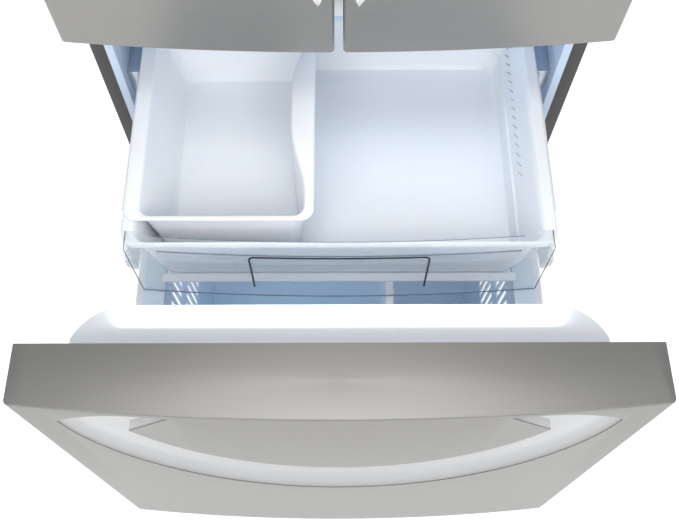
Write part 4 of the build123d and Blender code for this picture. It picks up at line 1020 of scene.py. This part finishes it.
def build_basket():
    """Lower basket with rows of upright slots in its sides."""
    low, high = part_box("lower_basket")
    top, floor, wall = high.z, low.z, sizes().wall
    x1, y0, y1 = high.x, low.y, high.y
    loops = [
        (-x1 + 0.060, x1 - 0.060, y0 + 0.028, y1 - 0.028, floor + wall + 0.0015),
        (-x1 + 0.057, x1 - 0.057, y0 + 0.025, y1 - 0.025, floor + wall),
        (-x1 + 0.055, x1 - 0.055, y0 + 0.022, y1 - 0.022, floor + wall + 0.001),
        (-x1 + 0.052, x1 - 0.052, y0 + 0.019, y1 - 0.019, floor + wall + 0.008),
        (-x1 + 0.036, x1 - 0.036, y0 + 0.012, y1 - 0.012, top - 0.010),
        (-x1 + 0.033, x1 - 0.033, y0 + 0.010, y1 - 0.010, top - 0.001),
        (-x1 + 0.030, x1 - 0.030, y0 + 0.008, y1 - 0.008, top),
        (-x1 + 0.001, x1 - 0.001, y0 + 0.001, y1 - 0.001, top),
        (-x1, x1, y0, y1, top - 0.004),
    ]
    bm = bmesh.new()
    walk_rim(bm, loops, 0.022, 6)
    face_towards(bm, Vector((0.0, 0.0, 1.0)))
    # The basket's blue colour is painted shade
    basket = add_piece("lower_basket_body", bm, "lower_basket", "basket", smooth=40.0)
    walled(basket, wall)
    slots = bmesh.new()
    for z, tall in ((floor + 0.274, 0.082), (floor + 0.164, 0.082)):
        for i in range(15):
            y = y0 + 0.047 + i * 0.018
            place = Matrix.Translation((0.0, y, z))
            size = Matrix.Diagonal((0.640, 0.0105, tall, 1.0))
            bmesh.ops.create_cube(slots, size=1.0, matrix=place @ size)
    carve(basket, object_from(slots, "Slots"))
    rounded(basket, 0.0006, 2, 50.0)

    # The rim takes the same painted blue shade as the basket
    edge = bmesh.new()
    walk_rim(
        edge,
        [
            (-x1 + 0.0345, x1 - 0.0345, y0 + 0.0105, y1 - 0.0105, top - 0.0015),
            (-x1 + 0.0335, x1 - 0.0335, y0 + 0.0100, y1 - 0.0100, top + 0.0012),
            (-x1 + 0.001, x1 - 0.001, y0 + 0.001, y1 - 0.001, top + 0.0012),
            (-x1 + 0.0005, x1 - 0.0005, y0 + 0.0005, y1 - 0.0005, top - 0.002),
        ],
        0.020, 6, cap=False
    )
    face_towards(edge, Vector((0.0, 0.0, 1.0)))
    walled(add_piece("lower_basket_edge", edge, "lower_basket", replace=False), 0.001)

    hooks = bmesh.new()
    for side in (-1.0, 1.0):
        for y in (y0 + 0.030, y1 - 0.030):
            xa, xb = sorted((side * (x1 - 0.033), side * (x1 - 0.004)))
            block(hooks, xa, xb, y - 0.002, y + 0.002, 0.3885, top - 0.003)
    # The hooks take the blue copy of the white plastic: painted shade
    rounded(add_piece("lower_basket_hooks", hooks, "lower_basket", "shaded", replace=False), 0.0006)


# Liners and trim ----------------------------------------------------------------------------


def softened(node, width, segments=2, angle=30.0, finish=None):
    """A copy of a CAD node with its sharp edges rounded."""
    bm = bmesh.new()
    bm.from_mesh(frame["nodes"][node].data)
    bmesh.ops.remove_doubles(bm, verts=bm.verts, dist=1e-5)
    bmesh.ops.dissolve_limit(
        bm, angle_limit=math.radians(0.8), verts=bm.verts, edges=bm.edges,
        use_dissolve_boundaries=False
    )
    round_edges(bm, sharp_edges(bm, angle), width, segments)
    return add_piece(node + "_body", bm, node, finish)


MOULDED = {
    "drawer_liner": 0.0030, "left_door_liner": 0.0030, "right_door_liner": 0.0030,
    "basket_divider": 0.0014, "left_crisper": 0.0008, "right_crisper": 0.0008,
    "crisper_cover": 0.0010, "left_door_bins": 0.0007, "right_door_bins": 0.0007,
    "kick_grille": 0.0012, "hinge_covers": 0.0020, "control_panel": 0.0012, "center_flap": 0.0009,
    "ice_maker": 0.0030, "ice_maker_arm": 0.0006, "air_duct": 0.0012, "light_lens": 0.0010,
    "left_humidity_slider": 0.0006, "right_humidity_slider": 0.0006, "center_rail": 0.0004,
    "evaporator_cover": 0.0006, "left_leg": 0.0006, "right_leg": 0.0006, "shelf_frames": 0.0007,
    "shelf_glasses": 0.0006, "freezer_liner": 0.0004, "fridge_liner": 0.0004,
}
PRESSED = {
    "cabinet_wrapper": 0.0004, "cabinet_rails": 0.0005, "intermediate_rails": 0.0005,
    "drawer_runners": 0.0005, "door_hinges": 0.0006, "machine_cover": 0.0004,
    "rear_panel": 0.0004, "base_frame": 0.0004,
}


def build_sill():
    """Steel strip across the front of the cabinet, below the freezer."""
    low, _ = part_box("cabinet_wrapper")
    bottom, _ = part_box("freezer_liner")
    _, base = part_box("kick_grille")
    half = -bottom.x
    bm = bmesh.new()
    block(bm, -half, half, low.y, low.y + 0.001, base.z + 0.001, bottom.z)
    add_piece("cabinet_sill", bm, "cabinet_wrapper", replace=False)


# Operators ----------------------------------------------------------------------------------


class FRIDGE_OT_finishes(bpy.types.Operator):
    """Makes the finishes and puts them on the CAD nodes"""

    bl_idname = "fridge.finishes"
    bl_label = "Finishes"

    def execute(self, context):
        make_finishes()
        for node, cad in frame["nodes"].items():
            for slot in cad.material_slots:
                slot.material = finish_of(node)
            if not cad.material_slots:
                cad.data.materials.append(finish_of(node))
        return {"FINISHED"}


class FRIDGE_OT_fronts(bpy.types.Operator):
    """Steel fronts of the doors and the freezer drawer"""

    bl_idname = "fridge.fronts"
    bl_label = "Steel fronts"

    def execute(self, context):
        build_front("drawer_skin", "drawer", DRAWER_MOUTH, DRAWER_LIP)
        for side in ("left", "right"):
            build_front(side + "_door_skin", "door", DOOR_MOUTH, DOOR_LIP)
        return {"FINISHED"}


class FRIDGE_OT_scoops(bpy.types.Operator):
    """Linings and lips of the handle scoops"""

    bl_idname = "fridge.scoops"
    bl_label = "Handle scoops"

    def execute(self, context):
        build_scoop("drawer_skin", "drawer", DRAWER_MOUTH, DRAWER_LIP, 0.046)
        for side in ("left", "right"):
            build_scoop(side + "_door_skin", "door", DOOR_MOUTH, DOOR_LIP, 0.0345)
        return {"FINISHED"}


class FRIDGE_OT_seals(bpy.types.Operator):
    """Ribbed seals of the doors and the freezer drawer"""

    bl_idname = "fridge.seals"
    bl_label = "Seals"

    def execute(self, context):
        for node in ("left_door_gasket", "right_door_gasket", "drawer_gasket"):
            build_seal(node)
        return {"FINISHED"}


class FRIDGE_OT_upper_drawer(bpy.types.Operator):
    """Upper freezer drawer: tub, clear front, pull outline and ice bin"""

    bl_idname = "fridge.upper_drawer"
    bl_label = "Upper freezer drawer"

    def execute(self, context):
        build_tub()
        build_clear_front()
        build_handle_outline()
        build_ice_bin()
        return {"FINISHED"}


class FRIDGE_OT_lower_basket(bpy.types.Operator):
    """Lower freezer basket"""

    bl_idname = "fridge.lower_basket"
    bl_label = "Lower freezer basket"

    def execute(self, context):
        build_basket()
        return {"FINISHED"}


class FRIDGE_OT_trim(bpy.types.Operator):
    """Liners, trim, rails and fittings with rounded edges"""

    bl_idname = "fridge.trim"
    bl_label = "Liners and fittings"

    def execute(self, context):
        for node, width in MOULDED.items():
            softened(node, width, 3 if width > 0.001 else 2)
        for node, width in PRESSED.items():
            softened(node, width)
        build_sill()
        return {"FINISHED"}


class FRIDGE_OT_stage(bpy.types.Operator):
    """Pale floor, soft lights and the camera"""

    bl_idname = "fridge.stage"
    bl_label = "Studio"

    def execute(self, context):
        scene = context.scene
        bm = bmesh.new()
        bmesh.ops.create_circle(bm, cap_ends=True, radius=14.0, segments=96)
        mesh = bpy.data.meshes.new("Studio floor")
        bm.to_mesh(mesh)
        bm.free()
        floor = bpy.data.objects.new("Studio floor", mesh)
        scene.collection.objects.link(floor)
        pale = Finish("Studio floor", Specular_IOR_Level=0.1)
        pale.shader.inputs["Emission Color"].default_value = (1.0, 1.0, 1.0, 1.0)
        pale.shader.inputs["Emission Strength"].default_value = 0.80
        tone = pale.grain((0.6, 0.6, 0.6), 2.0)
        pale.feed(Base_Color=pale.between(tone, (0.50, 0.50, 0.50), (0.54, 0.54, 0.54)), Roughness=0.9)
        mesh.materials.append(pale.material)

        world = bpy.data.worlds.new("Studio")
        world.use_nodes = True
        background = next(n for n in world.node_tree.nodes if n.type == "BACKGROUND")
        background.inputs["Color"].default_value = (0.93, 0.96, 1.0, 1.0)
        background.inputs["Strength"].default_value = 0.38
        scene.world = world

        for name, place, aim, wide, deep, power, tint in LIGHTS:
            lamp = bpy.data.lights.new(name, "AREA")
            lamp.shape = "RECTANGLE"
            lamp.size = wide
            lamp.size_y = deep
            lamp.energy = power
            lamp.color = tint
            holder = bpy.data.objects.new(name, lamp)
            holder.location = place
            look = Vector(aim) - Vector(place)
            holder.rotation_euler = look.to_track_quat("-Z", "Y").to_euler()
            scene.collection.objects.link(holder)

        lens = bpy.data.cameras.new("Camera")
        lens.sensor_width = 36.0
        lens.lens = 42.03
        lens.shift_y = 0.0884
        lens.clip_start = 0.05
        camera = bpy.data.objects.new("Camera", lens)
        camera.location = (-0.0012, -0.9026, 1.5654)
        camera.rotation_euler = (math.radians(23.342), 0.0, math.radians(-0.166))
        scene.collection.objects.link(camera)
        scene.camera = camera
        scene.view_settings.view_transform = "Standard"
        return {"FINISHED"}


LIGHTS = (
    ("Overhead", (0.0, 0.5, 4.2), (0.0, 0.3, 0.4), 1.0, 2.4, 15.0, (1.0, 0.99, 0.98)),
    ("Softbox", (0.0, -0.80, 3.2), (0.0, -0.35, 0.5), 1.5, 0.8, 16.0, (1.0, 1.0, 1.0)),
    ("Left key", (-1.5, -3.0, 3.4), (0.0, -0.3, 0.6), 1.6, 1.6, 34.0, (1.0, 0.99, 0.98)),
    ("Right key", (1.5, -3.0, 3.4), (0.0, -0.3, 0.6), 1.6, 1.6, 34.0, (1.0, 0.99, 0.98)),
    ("Back wash", (0.0, 3.4, 2.8), (0.0, 0.6, 0.9), 3.0, 1.6, 60.0, (1.0, 1.0, 1.0)),
    ("Freezer lamp", (0.0, 0.16, 0.68), (0.0, -0.12, 0.40), 0.5, 0.10, 0.8, (0.34, 0.64, 1.0)),
    ("Basket lamp", (0.0, -0.25, 0.460), (0.0, -0.25, 0.10), 0.44, 0.20, 0.34, (0.68, 0.84, 1.0)),
    ("Door bounce", (0.0, -0.46, 0.80), (0.0, -0.12, 0.86), 0.66, 0.22, 1.3, (1.0, 0.98, 0.95)),
    ("Tray fill", (0.0, -0.51, 0.69), (0.0, -0.375, 0.51), 0.54, 0.03, 0.30, (0.90, 0.95, 1.0)),
)


# Panel --------------------------------------------------------------------------------------

STEPS = (
    FRIDGE_OT_finishes, FRIDGE_OT_fronts, FRIDGE_OT_scoops, FRIDGE_OT_seals,
    FRIDGE_OT_upper_drawer, FRIDGE_OT_lower_basket, FRIDGE_OT_trim, FRIDGE_OT_stage,
)


class FRIDGE_PT_build(bpy.types.Panel):
    """Steps that build the refrigerator's surfaces"""

    bl_idname = "FRIDGE_PT_build"
    bl_label = "Refrigerator"
    bl_space_type = "VIEW_3D"
    bl_region_type = "UI"
    bl_category = "Refrigerator"

    def draw(self, context):
        for step in STEPS:
            self.layout.operator(step.bl_idname)
        for group in (context.scene.fridge_sizes, context.scene.fridge_colours):
            for name in group.__annotations__:
                self.layout.prop(group, name)


CLASSES = (FridgeSizes, FridgeColours, *STEPS, FRIDGE_PT_build)


def register():
    for cls in CLASSES:
        bpy.utils.register_class(cls)
    bpy.types.Scene.fridge_sizes = PointerProperty(type=FridgeSizes)
    bpy.types.Scene.fridge_colours = PointerProperty(type=FridgeColours)


def unregister():
    del bpy.types.Scene.fridge_colours
    del bpy.types.Scene.fridge_sizes
    for cls in reversed(CLASSES):
        bpy.utils.unregister_class(cls)


def main():
    register()
    bpy.ops.fridge.finishes()
    bpy.ops.fridge.fronts()
    bpy.ops.fridge.scoops()
    bpy.ops.fridge.seals()
    bpy.ops.fridge.upper_drawer()
    bpy.ops.fridge.lower_basket()
    bpy.ops.fridge.trim()
    bpy.ops.fridge.stage()


if __name__ == "__main__":
    main()
